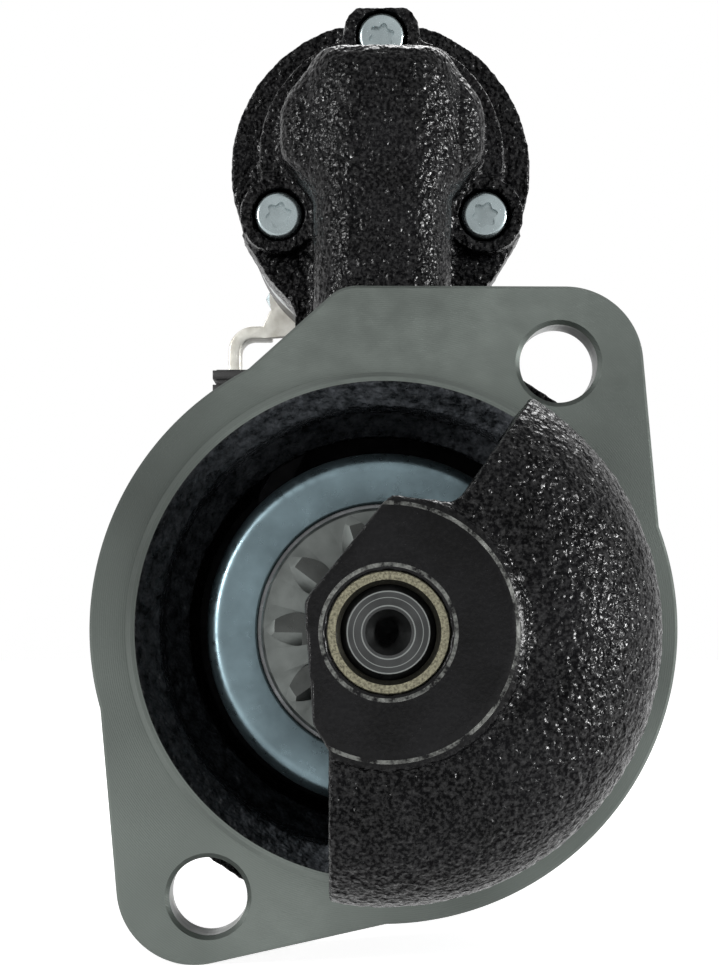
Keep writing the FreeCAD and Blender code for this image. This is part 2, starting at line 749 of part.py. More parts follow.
def planet_phase(angle):
    """Phase of a planet whose axis is at an angle, so that its teeth fall in the sun's spaces."""
    sun_step = 360.0 / SUN_TEETH
    lag = (angle - SUN_PHASE) % sun_step
    return angle + 180.0 + 180.0 / PLANET_TEETH + lag * SUN_TEETH / PLANET_TEETH


def ring_phase():
    """Phase of a space of the ring gear, from the planet at 90 degrees."""
    lead = (planet_phase(90.0) - 90.0) % (360.0 / PLANET_TEETH)
    return 90.0 + lead * PLANET_TEETH / RING_TEETH


def planet_gear(angle):
    a = math.radians(angle)
    x, z = PLANET_CIRCLE * math.cos(a), PLANET_CIRCLE * math.sin(a)
    gear = involute_gear(
        PLANET_TEETH, GEAR_MODULE, PITCH_R_PLANET + 0.8 * GEAR_MODULE, PITCH_R_PLANET - 1.05 * GEAR_MODULE,
        PLANET_FRONT, PLANET_REAR, planet_phase(angle), -BACKLASH,
    )
    return moved(gear, x=x, z=z).cut(rod(PLANET_PIN_R + RUN, PLANET_FRONT - 1, PLANET_REAR + 1, x, z))


def ring_gear():
    body = rod(STACK_R, PLATE_REAR, SHIELD_DISC_FRONT)
    teeth = involute_gear(
        RING_TEETH, GEAR_MODULE, PITCH_R_RING + 1.05 * GEAR_MODULE, PITCH_R_RING - 0.7 * GEAR_MODULE,
        PLATE_REAR - 1, SHIELD_DISC_FRONT + 1, ring_phase(), BACKLASH,
    )
    gear = body.cut(teeth)
    return gear.cut(Part.makeCompound(through_bolt_holes(PLATE_REAR - 1, SHIELD_DISC_FRONT + 1)))


def gear_shield():
    disc = tube(STACK_R, PITCH_R_SUN + GEAR_MODULE + 1.5, SHIELD_DISC_FRONT, SHIELD_DISC_REAR)
    return disc.cut(Part.makeCompound(through_bolt_holes(SHIELD_DISC_FRONT - 1, SHIELD_DISC_REAR + 1)))


# Pinion and overrunning clutch

def pinion():
    pitch_r = PINION_MODULE * PINION_TEETH / 2
    tip_r = pitch_r + (1 + PINION_SHIFT) * PINION_MODULE
    root_r = pitch_r - (1.25 - PINION_SHIFT) * PINION_MODULE
    gear = involute_gear(
        PINION_TEETH, PINION_MODULE, tip_r, root_r, PINION_FRONT, 0, 35.0, -0.3, PINION_SHIFT
    )
    envelope = lathe([
        (PINION_FRONT, 0),
        (PINION_FRONT, tip_r - 1.6),
        (PINION_FRONT + 1.6, tip_r),
        (0, tip_r),
        (0, 0),
    ])
    body = fuse([
        gear.common(envelope),
        rod(PINION_COLLAR_R, 0, PINION_COLLAR_LONG),
        rod(INNER_RACE_R, PINION_COLLAR_LONG, RACE_REAR - 0.5),
    ])
    return body.cut(rod(SHAFT_R + RUN, PINION_FRONT - 1, RACE_REAR + 1))


def race_outer_r():
    return CAP_R - CAP_SHEET


def clutch_outer():
    front = CAP_FRONT + CAP_SHEET + WASHER_THICK
    outer = race_outer_r()
    body = fuse([rod(outer, front, CLUTCH_REAR), rod(SLEEVE_R, CLUTCH_REAR, SLEEVE_REAR)])
    body = body.cut(rod(INNER_RACE_R + 1.0, front - 1, RACE_REAR))
    centre = INNER_RACE_R + ROLLER_R + RUN
    pocket = rod(ROLLER_R + RUN, front - 1, RACE_REAR, centre)
    spring_room = box(centre - 2.4, centre + 2.4, front - 1, RACE_REAR, 0, ROLLER_R + ROLLER_SPRING_ROOM)
    pockets = ring_of(pocket.fuse(spring_room), ROLLER_COUNT)
    body = body.cut(Part.makeCompound(pockets))
    bore = rod(SPLINE_ROOT_R + SLIDE, RACE_REAR - 1, SLEEVE_REAR + 1)
    half = SPLINE_WIDTH / 2 + SLIDE
    groove = box(SPLINE_ROOT_R - 1, SPLINE_R + SLIDE, RACE_REAR - 1, SLEEVE_REAR + 1, -half, half)
    body = body.cut(fuse([bore] + ring_of(groove, SPLINE_COUNT)))
    clip_front = GUIDE_Y + GUIDE_LONG / 2 + 0.3
    return body.cut(tube(SLEEVE_R + 1, SLEEVE_R - CLIP_THICK / 2, clip_front, clip_front + CLIP_THICK))


def clutch_rollers():
    front = CAP_FRONT + CAP_SHEET + WASHER_THICK + 0.3
    roller = rod(ROLLER_R, front, RACE_REAR - 0.3, INNER_RACE_R + ROLLER_R + RUN)
    return Part.makeCompound(ring_of(roller, ROLLER_COUNT))


def roller_springs():
    length = ROLLER_SPRING_ROOM - 2 * SPRING_SEAT
    y = (CAP_FRONT + CAP_SHEET + WASHER_THICK + RACE_REAR) / 2
    spring = coil_spring(1.3, 0.5, length, 5)
    spring.translate(Vector(INNER_RACE_R + ROLLER_R + RUN, y, ROLLER_R + SPRING_SEAT))
    return Part.makeCompound(ring_of(spring, ROLLER_COUNT))


def clutch_washer():
    front = CAP_FRONT + CAP_SHEET
    return tube(CAP_R - CAP_BEND - SEAT, INNER_RACE_R + SEAT, front, front + WASHER_THICK)


def clutch_cap():
    bend = CAP_BEND
    k = 1 - math.sqrt(0.5)
    inner_bend = bend - CAP_SHEET
    front = CAP_FRONT
    inner = race_outer_r()
    profile = [
        (front, CAP_MOUTH_R),
        (front, CAP_R - bend),
        (front + bend * k, CAP_R - bend * k, front + bend, CAP_R),
        (CLUTCH_REAR + CAP_SHEET, CAP_R),
        (CLUTCH_REAR + CAP_SHEET, inner - 3.0),
        (CLUTCH_REAR, inner - 3.0),
        (CLUTCH_REAR, inner),
        (front + bend, inner),
        (front + CAP_SHEET + inner_bend * k, inner - inner_bend * k,
         front + CAP_SHEET, inner - inner_bend),
        (front + CAP_SHEET, CAP_MOUTH_R),
    ]
    return lathe(profile)


def meshing_spring():
    """Three conical disc springs, set edge to edge between the clutch and the guide ring."""
    start = CLUTCH_REAR + SPRING_SEAT
    end = GUIDE_Y - GUIDE_LONG / 2 - SPRING_SEAT
    pitch = (end - start) / DISC_SPRING_COUNT
    bore_r = SLEEVE_R + SLIDE
    rise = pitch - DISC_SPRING_SHEET - RUN
    discs = []
    for i in range(DISC_SPRING_COUNT):
        y = start + pitch * i
        inner, outer = (bore_r, GUIDE_R) if i % 2 else (GUIDE_R, bore_r)
        sheet = DISC_SPRING_SHEET
        discs.append(lathe([(y, inner), (y + rise, outer), (y + rise + sheet, outer), (y + sheet, inner)]))
    return Part.makeCompound(discs)


def sleeve_clip():
    front = GUIDE_Y + GUIDE_LONG / 2 + 0.3
    return tube(SLEEVE_R + 2.0, SLEEVE_R - CLIP_THICK / 2, front, front + CLIP_THICK)


def guide_ring():
    ring = tube(GUIDE_R, SLEEVE_R + SLIDE, GUIDE_Y - GUIDE_LONG / 2, GUIDE_Y + GUIDE_LONG / 2)
    reach = GUIDE_R + GUIDE_PIN_LONG
    inner = SLEEVE_R + 2.0
    pins = [
        Part.makeCylinder(GUIDE_PIN_R, reach - inner, Vector(side * inner, GUIDE_Y, 0), Vector(side, 0, 0))
        for side in (1, -1)
    ]
    return fuse([ring] + pins)


# Shift lever

def shift_lever():
    """Fork over the clutch sleeve, hub on the pin and arm up to the plunger hook."""
    swing = math.degrees(LEVER_SWING)
    hub_r = LEVER_PIN_R + LEVER_HUB_WALL
    inner = GUIDE_R + 0.6
    outer = inner + FORK_THICK
    half = LEVER_DEEP / 2
    arm_x = LEVER_THICK / 2
    y, z = LEVER_PIVOT_Y, LEVER_PIVOT_Z
    arm_top = SOLENOID_Z - z
    slot_half = GUIDE_PIN_R + SLIDE
    leg_length = z / math.cos(LEVER_SWING)
    tip = arm_top / math.cos(LEVER_SWING)
    fork = [
        (-outer, -leg_length, 0),
        (-inner, -leg_length, 0),
        (-inner, -leg_length + 22.0, 3.0),
        (-9.0, -11.0, 3.0),
        (9.0, -11.0, 3.0),
        (inner, -leg_length + 22.0, 3.0),
        (inner, -leg_length, 0),
        (outer, -leg_length, 0),
        (outer, -leg_length + 24.5, 4.0),
        (hub_r + 2.0, -4.0, 3.0),
        (hub_r, 1.0, 0),
        (-hub_r, 1.0, 0),
        (-hub_r - 2.0, -4.0, 3.0),
        (-outer, -leg_length + 24.5, 4.0),
    ]
    fork_body = prism(rounded(fork), -half, half)
    feet = []
    for side in (1, -1):
        start = inner if side > 0 else -outer
        foot = Part.makeCylinder(slot_half + 2.2, FORK_THICK, Vector(start, 0, -leg_length), Vector(1, 0, 0))
        feet.append(foot)
    hub = Part.makeCylinder(hub_r, 2 * hub_r, Vector(-hub_r, 0, 0), Vector(1, 0, 0))
    arm = box(-arm_x, arm_x, -half, half, 0, tip)
    nose = Part.makeCylinder(LEVER_TIP_R, 2 * arm_x, Vector(-arm_x, 0, tip), Vector(1, 0, 0))
    lever = fuse([fork_body, hub, arm, nose] + feet)
    slots = []
    for side in (1, -1):
        start = inner - 1 if side > 0 else -outer - 1
        wide = FORK_THICK + 2
        hole = Part.makeCylinder(slot_half, wide, Vector(start, 0, -leg_length), Vector(1, 0, 0))
        mouth = box(start, start + wide, -slot_half, slot_half, -leg_length - 10, -leg_length)
        slots += [hole, mouth]
        rise = leg_length - z + 0.1
        slots.append(moved(hole, z=rise))
        slots.append(box(start, start + wide, -slot_half, slot_half, -leg_length, -leg_length + rise))
    bore = Part.makeCylinder(LEVER_PIN_R + RUN, 4 * hub_r, Vector(-2 * hub_r, 0, 0), Vector(1, 0, 0))
    lever = lever.cut(Part.makeCompound(slots)).cut(bore)
    lever.rotate(Vector(0, 0, 0), Vector(1, 0, 0), swing)
    return moved(lever, y=y, z=z)


# Motor

def field_frame():
    frame = lathe([
        (HOUSING_DEPTH, FRAME_R),
        (HOUSING_DEPTH, FRAME_BORE_R + FRAME_STEP),
        (SHIELD_DISC_REAR, FRAME_BORE_R + FRAME_STEP),
        (SHIELD_DISC_REAR, FRAME_BORE_R),
        (FRAME_REAR, FRAME_BORE_R),
        (FRAME_REAR, FRAME_R),
    ])
    holes = ring_of(pole_screw(0.3), POLE_COUNT)
    return frame.cut(Part.makeCompound(holes)).cut(lead_slot())


def pole_screw(extra=0.0):
    """Countersunk screw lying along +X through the frame into a pole shoe."""
    y = (STACK_FRONT + STACK_REAR) / 2
    start = ARMATURE_R + AIR_GAP + POLE_TIP_THICK
    head = 3.4
    shank = Part.makeCylinder(POLE_SCREW_R + extra, FRAME_R - start, Vector(start, y, 0), Vector(1, 0, 0))
    cone = Part.makeCone(
        POLE_SCREW_R + extra, POLE_SCREW_R + head + extra, head,
        Vector(FRAME_R - head, y, 0), Vector(1, 0, 0),
    )
    screw = fuse([shank, cone])
    if extra == 0:
        socket = Part.makeCylinder(2.6, 2.4, Vector(FRAME_R - 2.4, y, 0), Vector(1, 0, 0))
        screw = screw.cut(socket)
    return moved(screw, x=-0.2) if extra == 0 else screw


def pole_shoe():
    inner = ARMATURE_R + AIR_GAP
    tip = sector(inner, inner + POLE_TIP_THICK, POLE_TIP_ANGLE, STACK_FRONT, STACK_REAR)
    core = sector(inner + 1.0, FRAME_BORE_R, POLE_CORE_ANGLE, STACK_FRONT, STACK_REAR)
    return fuse([tip, core])


def pole_shoes():
    y = (STACK_FRONT + STACK_REAR) / 2
    hole = Part.makeCylinder(POLE_SCREW_R, FRAME_R, Vector(ARMATURE_R, y, 0), Vector(1, 0, 0))
    return Part.makeCompound(ring_of(pole_shoe().cut(hole), POLE_COUNT))


def pole_screws():
    return Part.makeCompound(ring_of(pole_screw(), POLE_COUNT))


def field_coils():
    low = ARMATURE_R + AIR_GAP + POLE_TIP_THICK + 0.4
    high = FRAME_BORE_R - 0.4
    outer = sector(low, high, COIL_ANGLE, STACK_FRONT - COIL_OVERHANG, STACK_REAR + COIL_OVERHANG)
    core = sector(low - 5, high + 5, POLE_CORE_ANGLE + 0.7, STACK_FRONT - 0.3, STACK_REAR + 0.3)
    return Part.makeCompound(ring_of(outer.cut(core), POLE_COUNT))


def armature_shaft():
    sun_rear = PLANET_REAR + 1.0
    journal_front = CARRIER_FRONT - 7.0
    clip_front = HUB_END + 0.6
    shaft = lathe([
        (journal_front, 0),
        (journal_front, PILOT_JOURNAL_R),
        (CARRIER_REAR + 0.2, PILOT_JOURNAL_R),
        (CARRIER_REAR + 0.2, PITCH_R_SUN - 1.05 * GEAR_MODULE),
        (sun_rear, PITCH_R_SUN - 1.05 * GEAR_MODULE),
        (sun_rear, ARMATURE_SHAFT_R),
        (SHIELD_FLOOR - 8.0, ARMATURE_SHAFT_R),
        (SHIELD_FLOOR - 8.0, REAR_JOURNAL_R),
        (clip_front, REAR_JOURNAL_R),
        (clip_front, REAR_JOURNAL_R - 0.8),
        (clip_front + CLIP_THICK, REAR_JOURNAL_R - 0.8),
        (clip_front + CLIP_THICK, REAR_JOURNAL_R),
        (clip_front + CLIP_THICK + 1.2, REAR_JOURNAL_R),
        (clip_front + CLIP_THICK + 1.2, 0),
    ])
    sun = involute_gear(
        SUN_TEETH, GEAR_MODULE, PITCH_R_SUN + 0.8 * GEAR_MODULE, PITCH_R_SUN - 1.05 * GEAR_MODULE,
        CARRIER_REAR + 0.4, sun_rear, SUN_PHASE, -BACKLASH,
    )
    return fuse([shaft, sun])


def slot_block(start, end, inner, outer, half):
    block = box(inner, outer, start, end, -half, half)
    return Part.makeCompound(ring_of(block, ARMATURE_SLOTS, 180.0 / ARMATURE_SLOTS))


def lamination_stack():
    stack = tube(ARMATURE_R, ARMATURE_SHAFT_R, STACK_FRONT, STACK_REAR)
    slots = slot_block(STACK_FRONT - 1, STACK_REAR + 1, COMMUTATOR_R + 1.0, ARMATURE_R - 1.5, 1.7)
    mouths = slot_block(STACK_FRONT - 1, STACK_REAR + 1, ARMATURE_R - 2.0, ARMATURE_R + 1, 0.8)
    return stack.cut(slots).cut(mouths)


def armature_winding():
    front = tube(ARMATURE_R - 3.0, ARMATURE_SHAFT_R + 1.0, STACK_FRONT - 10.0, STACK_FRONT - 0.5)
    rear = tube(ARMATURE_R - 3.0, ARMATURE_SHAFT_R + 1.0, STACK_REAR + 0.5, COMMUTATOR_FRONT - 0.3)
    bar = box(COMMUTATOR_R + 1.3, ARMATURE_R - 3.2, STACK_FRONT - 1, STACK_REAR + 1, -1.5, 1.5)
    return fuse([front, rear] + ring_of(bar, ARMATURE_SLOTS, 180.0 / ARMATURE_SLOTS))


def commutator():
    body = lathe([
        (COMMUTATOR_FRONT, COMMUTATOR_R - 5.0),
        (COMMUTATOR_FRONT, COMMUTATOR_R + 2.5),
        (COMMUTATOR_FRONT + 3.0, COMMUTATOR_R + 2.5),
        (COMMUTATOR_FRONT + 3.0, COMMUTATOR_R),
        (COMMUTATOR_REAR, COMMUTATOR_R),
        (COMMUTATOR_REAR, COMMUTATOR_R - 5.0),
    ])
    deep = COMMUTATOR_R - 0.8
    undercut = box(deep, COMMUTATOR_R + 4, COMMUTATOR_FRONT - 1, COMMUTATOR_REAR + 1, -0.3, 0.3)
    bars = body.cut(Part.makeCompound(ring_of(undercut, ARMATURE_SLOTS)))
    hub = tube(COMMUTATOR_R - 5.0, ARMATURE_SHAFT_R, COMMUTATOR_FRONT, COMMUTATOR_REAR)
    return Part.makeCompound([bars, hub])


def shaft_clip():
    front = HUB_END + 0.6
    return tube(REAR_JOURNAL_R + 2.5, REAR_JOURNAL_R - 0.8, front, front + CLIP_THICK)


def rear_shield():
    cup = lathe([
        (FRAME_REAR, FRAME_R),
        (SHIELD_REAR - 3.0, FRAME_R),
        (SHIELD_REAR, FRAME_R - 3.0),
        (SHIELD_REAR, REAR_HUB_R),
        (HUB_END, REAR_HUB_R),
        (HUB_END, 0),
        (SHIELD_FLOOR - REAR_HUB_DEEP, 0),
        (SHIELD_FLOOR - REAR_HUB_DEEP, REAR_HUB_R),
        (SHIELD_FLOOR, REAR_HUB_R),
        (SHIELD_FLOOR, FRAME_R - REAR_SHIELD_WALL),
        (FRAME_REAR, FRAME_R - REAR_SHIELD_WALL),
    ])
    post = rod(3.0, BRUSH_PLATE_REAR, SHIELD_FLOOR + 1, THROUGH_BOLT_CIRCLE)
    posts = ring_of(post, BRUSH_COUNT, 180.0 / BRUSH_COUNT)
    shield = fuse([cup] + posts)
    shield = shield.cut(rod(REAR_JOURNAL_R + RUN + BUSH_WALL, SHIELD_FLOOR - 6, HUB_END + 1))
    shield = shield.cut(Part.makeCompound(through_bolt_holes(SHIELD_FLOOR - 1, SHIELD_REAR + 1)))
    screws = [rod(1.6, HUB_END - 5, HUB_END + 1, x) for x in (10.5, -10.5)]
    return shield.cut(Part.makeCompound(screws))


def rear_bush():
    front = SHIELD_FLOOR - REAR_HUB_DEEP
    return tube(REAR_JOURNAL_R + RUN + BUSH_WALL, REAR_JOURNAL_R + RUN, front, HUB_END)


def shaft_cap():
    cup = rod(SHAFT_CAP_R, HUB_END, HUB_END + SHAFT_CAP_LONG)
    cup = cup.cut(rod(REAR_JOURNAL_R + 2.8, HUB_END - 1, HUB_END + SHAFT_CAP_LONG - 1.2))
    screws = [rod(1.8, HUB_END - 1, HUB_END + SHAFT_CAP_LONG + 1, x) for x in (10.5, -10.5)]
    return cup.cut(Part.makeCompound(screws))


def cap_screws():
    end = HUB_END + SHAFT_CAP_LONG
    screws = []
    for x in (10.5, -10.5):
        screws.append(fuse([rod(1.6, HUB_END - 5, end, x), rod(3.0, end, end + 2.0, x)]))
    return Part.makeCompound(screws)


def through_bolts():
    bolts = []
    for x, z in through_bolt_places():
        shank = rod(THROUGH_BOLT_R, HOUSING_DEPTH - 12.0, SHIELD_REAR, x, z)
        head = hexagon(10.0, SHIELD_REAR, SHIELD_REAR + 4.0, x, z)
        bolts.append(fuse([shank, head]))
    return Part.makeCompound(bolts)


# Brush gear

def brush():
    inner = COMMUTATOR_R + RUN
    rear = BRUSH_FRONT + BRUSH_LONG
    half = BRUSH_WIDE / 2
    block = box(inner - 1, inner + BRUSH_TALL, BRUSH_FRONT, rear, -half, half)
    return block.cut(rod(inner, BRUSH_FRONT - 1, rear + 1))


def brush_box_end():
    return COMMUTATOR_R + BRUSH_TALL + BRUSH_TRAVEL + BRUSH_SPRING_SOLID


def brush_plate():
    plate = tube(BRUSH_PLATE_R, COMMUTATOR_R + 3.0, BRUSH_PLATE_FRONT, BRUSH_PLATE_REAR)
    half = BRUSH_WIDE / 2 + SLIDE
    wall = BRUSH_BOX_WALL
    front = BRUSH_FRONT - SLIDE
    rear = BRUSH_FRONT + BRUSH_LONG + SLIDE
    start = COMMUTATOR_R + 3.5
    end = brush_box_end()
    shell = box(start, end, front - wall, BRUSH_PLATE_REAR, -half - wall, half + wall)
    room = box(start - 1, end - wall, front, rear, -half, half)
    boxes = ring_of(shell.cut(room), BRUSH_COUNT)
    plate = fuse([plate] + boxes)
    return plate.cut(Part.makeCompound(through_bolt_holes(FRAME_REAR, SHIELD_REAR)))


def brush_springs():
    start = COMMUTATOR_R + RUN + BRUSH_TALL + SPRING_SEAT
    end = brush_box_end() - BRUSH_BOX_WALL - SPRING_SEAT
    spring = coil_spring(2.6, 0.7, end - start, 5)
    spring.rotate(Vector(0, 0, 0), Vector(0, 1, 0), 90)
    spring.translate(Vector(start, BRUSH_FRONT + BRUSH_LONG / 2, 0))
    return Part.makeCompound(ring_of(spring, BRUSH_COUNT))


# Solenoid switch

def solenoid_case():
    case = rod(SOLENOID_R, SEAT_REAR, SOLENOID_REAR, z=SOLENOID_Z)
    room = rod(SOLENOID_BORE_R, SEAT_REAR + SOLENOID_FRONT_WALL, SOLENOID_REAR + 1, z=SOLENOID_Z)
    bore = rod(PLUNGER_R + SLIDE, SEAT_REAR - 1, SEAT_REAR + SOLENOID_FRONT_WALL + 1, z=SOLENOID_Z)
    case = case.cut(room).cut(bore)
    for x, z in screw_places():
        case = case.cut(rod(SCREW_SHANK_R, SEAT_REAR - 1, SEAT_REAR + SOLENOID_FRONT_WALL - 1, x, z))
    return case


def solenoid_core():
    stem = rod(bobbin_bore() - SLIDE, CORE_FRONT, CORE_REAR, z=SOLENOID_Z)
    disc = rod(SOLENOID_BORE_R - SLIDE, CORE_REAR - CORE_DISC_THICK, CORE_REAR, z=SOLENOID_Z)
    core = fuse([stem, disc])
    core = core.cut(rod(7.5, CORE_FRONT - 1, CORE_FRONT + 8.0, z=SOLENOID_Z))
    return core.cut(rod(ROD_R + SLIDE, CORE_FRONT, CORE_REAR + 1, z=SOLENOID_Z))


def bobbin_bore():
    return PLUNGER_R + SLIDE


def bobbin_front():
    return SEAT_REAR + SOLENOID_FRONT_WALL + 0.2


def bobbin_rear():
    return CORE_REAR - CORE_DISC_THICK - 0.2


def solenoid_bobbin():
    front, rear = bobbin_front(), bobbin_rear()
    outer = SOLENOID_BORE_R - 0.4
    sleeve = rod(bobbin_bore() + BOBBIN_WALL, front, rear, z=SOLENOID_Z)
    flanges = [rod(outer, front, front + 1.5, z=SOLENOID_Z), rod(outer, rear - 1.5, rear, z=SOLENOID_Z)]
    return fuse([sleeve] + flanges).cut(rod(bobbin_bore(), front - 1, rear + 1, z=SOLENOID_Z))


def solenoid_winding():
    front, rear = bobbin_front() + 1.7, bobbin_rear() - 1.7
    return tube(SOLENOID_BORE_R - 1.5, bobbin_bore() + BOBBIN_WALL + 0.2, front, rear, z=SOLENOID_Z)


def plunger():
    """Iron plunger with its hook, which has a slot for the lever tip."""
    body = rod(PLUNGER_R, PLUNGER_FRONT, PLUNGER_REAR, z=SOLENOID_Z)
    hook_front = LEVER_TIP_Y - HOOK_SLOT / 2 - 3.0
    half = HOOK_WIDE / 2
    hook = box(-half - 2, half + 2, hook_front, PLUNGER_FRONT + 1, SOLENOID_Z - half, SOLENOID_Z + half)
    slot_half = LEVER_THICK / 2 + 0.5
    slot_y = LEVER_TIP_R + SLIDE
    front, rear = LEVER_TIP_Y - slot_y, LEVER_TIP_Y + slot_y
    slot = box(-slot_half, slot_half, front, rear, SOLENOID_Z - 20, SOLENOID_Z + 20)
    return fuse([body, hook]).cut(slot)


def return_spring():
    start = PLUNGER_REAR + SPRING_SEAT
    return spring_along_y(5.6, 1.4, start, CORE_FRONT + 8.0 - SPRING_SEAT, 6, z=SOLENOID_Z)


def moving_contact():
    """Push rod through the core, with the copper bridge that closes the two studs."""
    front = PLUNGER_REAR + PLUNGER_TRAVEL - CONTACT_TRAVEL + RUN
    push_rod = rod(ROD_R, front, CONTACT_Y + 6.0, z=SOLENOID_Z)
    plate = box(-6.5, 6.5, CONTACT_Y, CONTACT_Y + 2.0, -STUD_CIRCLE - 2.0, STUD_CIRCLE + 2.0)
    plate = turned(moved(plate, z=0), STUD_ANGLE - 90)
    bridge = moved(plate, z=SOLENOID_Z).cut(rod(ROD_R, CONTACT_Y - 1, CONTACT_Y + 3, z=SOLENOID_Z))
    return Part.makeCompound([push_rod, bridge])


def contact_spring():
    start = CONTACT_Y + 2.0 + SPRING_SEAT
    return spring_along_y(4.4, 0.9, start, CAP_REAR - CAP_WALL - SPRING_SEAT, 5, z=SOLENOID_Z)


def stud_place(angle):
    a = math.radians(angle)
    return STUD_CIRCLE * math.cos(a), SOLENOID_Z + STUD_CIRCLE * math.sin(a)


def switch_cap():
    outer = SOLENOID_R - 0.3
    cap = rod(outer, SOLENOID_REAR, CAP_REAR, z=SOLENOID_Z)
    cap = cap.cut(rod(outer - 2.2, SOLENOID_REAR - 1, CAP_REAR - CAP_WALL, z=SOLENOID_Z))
    for angle in (STUD_ANGLE, STUD_ANGLE + 180):
        x, z = stud_place(angle)
        cap = cap.cut(rod(STUD_R, CAP_REAR - CAP_WALL - 1, CAP_REAR + 1, x, z))
    x, z = control_place()
    return cap.cut(rod(CONTROL_STUD_R, CAP_REAR - CAP_WALL - 1, CAP_REAR + 1, x, z))


def control_place():
    a = math.radians(STUD_ANGLE + 90)
    return 16.0 * math.cos(a), SOLENOID_Z + 16.0 * math.sin(a)


def motor_nut_rear():
    return CAP_REAR + LUG_THICK + NUT_THICK


def stud(angle, nut_rear):
    """Terminal stud; where its nut sits the thread is drawn at half its depth."""
    x, z = stud_place(angle)
    head = rod(STUD_R + 2.0, STUD_HEAD_FRONT, CAP_REAR - CAP_WALL, x, z)
    head = head.common(rod(SOLENOID_R - 3.0, STUD_HEAD_FRONT - 1, CAP_REAR, z=SOLENOID_Z))
    end = CAP_REAR + STUD_PROUD
    in_nut = STUD_R - THREAD_HALF
    shank = lathe([
        (CAP_REAR - CAP_WALL - 1, 0),
        (CAP_REAR - CAP_WALL - 1, STUD_R),
        (CAP_REAR - SEAT, STUD_R),
        (CAP_REAR - SEAT, in_nut),
        (nut_rear + THREAD_HALF, in_nut),
        (nut_rear + THREAD_HALF, STUD_R),
        (end - 2 * THREAD_HALF, STUD_R),
        (end, STUD_R - 2 * THREAD_HALF),
        (end, 0),
    ], x, z)
    return fuse([head, shank])


def control_terminal():
    x, z = control_place()
    inside = CAP_REAR - CAP_WALL
    in_nut = CONTROL_STUD_R - CONTROL_THREAD_HALF
    nut_rear = CAP_REAR + CONTROL_NUT_THICK + CONTROL_THREAD_HALF
    shank = lathe([
        (inside - 1, 0),
        (inside - 1, CONTROL_STUD_R),
        (CAP_REAR - SEAT, CONTROL_STUD_R),
        (CAP_REAR - SEAT, in_nut),
        (nut_rear, in_nut),
        (nut_rear, CONTROL_STUD_R),
        (CAP_REAR + CONTROL_PROUD, CONTROL_STUD_R),
        (CAP_REAR + CONTROL_PROUD, 0),
    ], x, z)
    return fuse([rod(CONTROL_STUD_R + 1.6, inside - 2.0, inside, x, z), shank])


def terminal_nuts():
    """One nut on the battery stud, one over the lug of the motor lead and one on the control stud."""
    x, z = stud_place(STUD_ANGLE + 180)
    in_control_nut = CONTROL_STUD_R - CONTROL_THREAD_HALF
    places = [
        (x, z, CAP_REAR, NUT_FLATS, NUT_THICK, STUD_R - THREAD_HALF),
        (*stud_place(STUD_ANGLE), CAP_REAR + LUG_THICK, NUT_FLATS, NUT_THICK, STUD_R - THREAD_HALF),
        (*control_place(), CAP_REAR, CONTROL_NUT_FLATS, CONTROL_NUT_THICK, in_control_nut),
    ]
    nuts = []
    for x, z, start, flats, thick, bore in places:
        nuts.append(hexagon(flats, start, start + thick, x, z).cut(rod(bore, start - 1, start + 20, x, z)))
    return Part.makeCompound(nuts)


def lead_y():
    """Place on Y where the motor lead starts, on the face of the switch cap."""
    return CAP_REAR


def lead_foot_z():
    return math.sqrt(FRAME_BORE_R ** 2 - (LEAD_X - LEAD_THICK / 2) ** 2)


def motor_lead():
    """Tinned strap from the motor stud over and down into the field frame."""
    x, z = stud_place(STUD_ANGLE)
    y = lead_y()
    lug = rod(STUD_R + 4.0, y, y + LUG_THICK, x, z)
    under_link = LEAD_TOP_Z - LEAD_THICK
    near = -LEAD_X + LEAD_LINK
    outline = [(x, z + 4), (x - 9, z - 3), (near, LEAD_TOP_Z), (near, under_link), (x, z - 8)]
    link = prism(outline, y, y + LUG_THICK)
    bend = LEAD_BEND
    k = bend * (1 - math.sqrt(0.5))
    inner = bend - LEAD_THICK
    m = inner * (1 - math.sqrt(0.5))
    left, right = -LEAD_X, -LEAD_X + LEAD_THICK
    top, under = LEAD_TOP_Z, LEAD_TOP_Z - LEAD_THICK
    foot = lead_foot_z() - 3.0
    strap = prism(
        [
            (near + 2.0, top),
            (left + bend, top),
            (left + k, top - k, left, top - bend),
            (left, foot),
            (right, foot),
            (right, top - bend),
            (right + m, under - m, right + inner, under),
            (near + 2.0, under),
        ],
        y, y + LEAD_DEEP,
    )
    hole = rod(STUD_R, y - 1, y + LEAD_DEEP + 1, x, z)
    return fuse([lug, link, strap]).cut(hole)


def lead_slot(extra=0.0):
    """Slot in the field frame that the grommet fills."""
    wall = GROMMET_WALL - extra
    y = lead_y()
    low = FRAME_BORE_R / 2
    return box(-LEAD_X - wall, -LEAD_X + LEAD_THICK + wall, y - wall, y + LEAD_DEEP + wall, low, LEAD_TOP_Z)


def lead_grommet():
    """Ribbed rubber block in the frame's slot, round the motor lead."""
    y = lead_y()
    wall = GROMMET_WALL
    x0, x1 = -LEAD_X - wall, -LEAD_X + LEAD_THICK + wall
    low = FRAME_BORE_R / 2
    block = box(x0, x1, y - wall, y + LEAD_DEEP + wall, low, FRAME_R - 1.5)
    ribs = []
    for i in range(3):
        z = FRAME_R - 0.5 + 3.0 * i
        ribs.append(box(x0 - 0.8, x1 + 3.4, y - wall - 0.8, y + LEAD_DEEP + wall + 0.8, z - 1.0, z + 0.8))
        ribs.append(box(x0, x1 + 2.4, y - wall, y + LEAD_DEEP + wall, z - 2.5, z + 1.0))
    block = fuse([block] + ribs).cut(rod(FRAME_BORE_R, y - 10, y + LEAD_DEEP + 10))
    return block.cut(box(-LEAD_X, -LEAD_X + LEAD_THICK, y, y + LEAD_DEEP, low - 1, LEAD_TOP_Z))


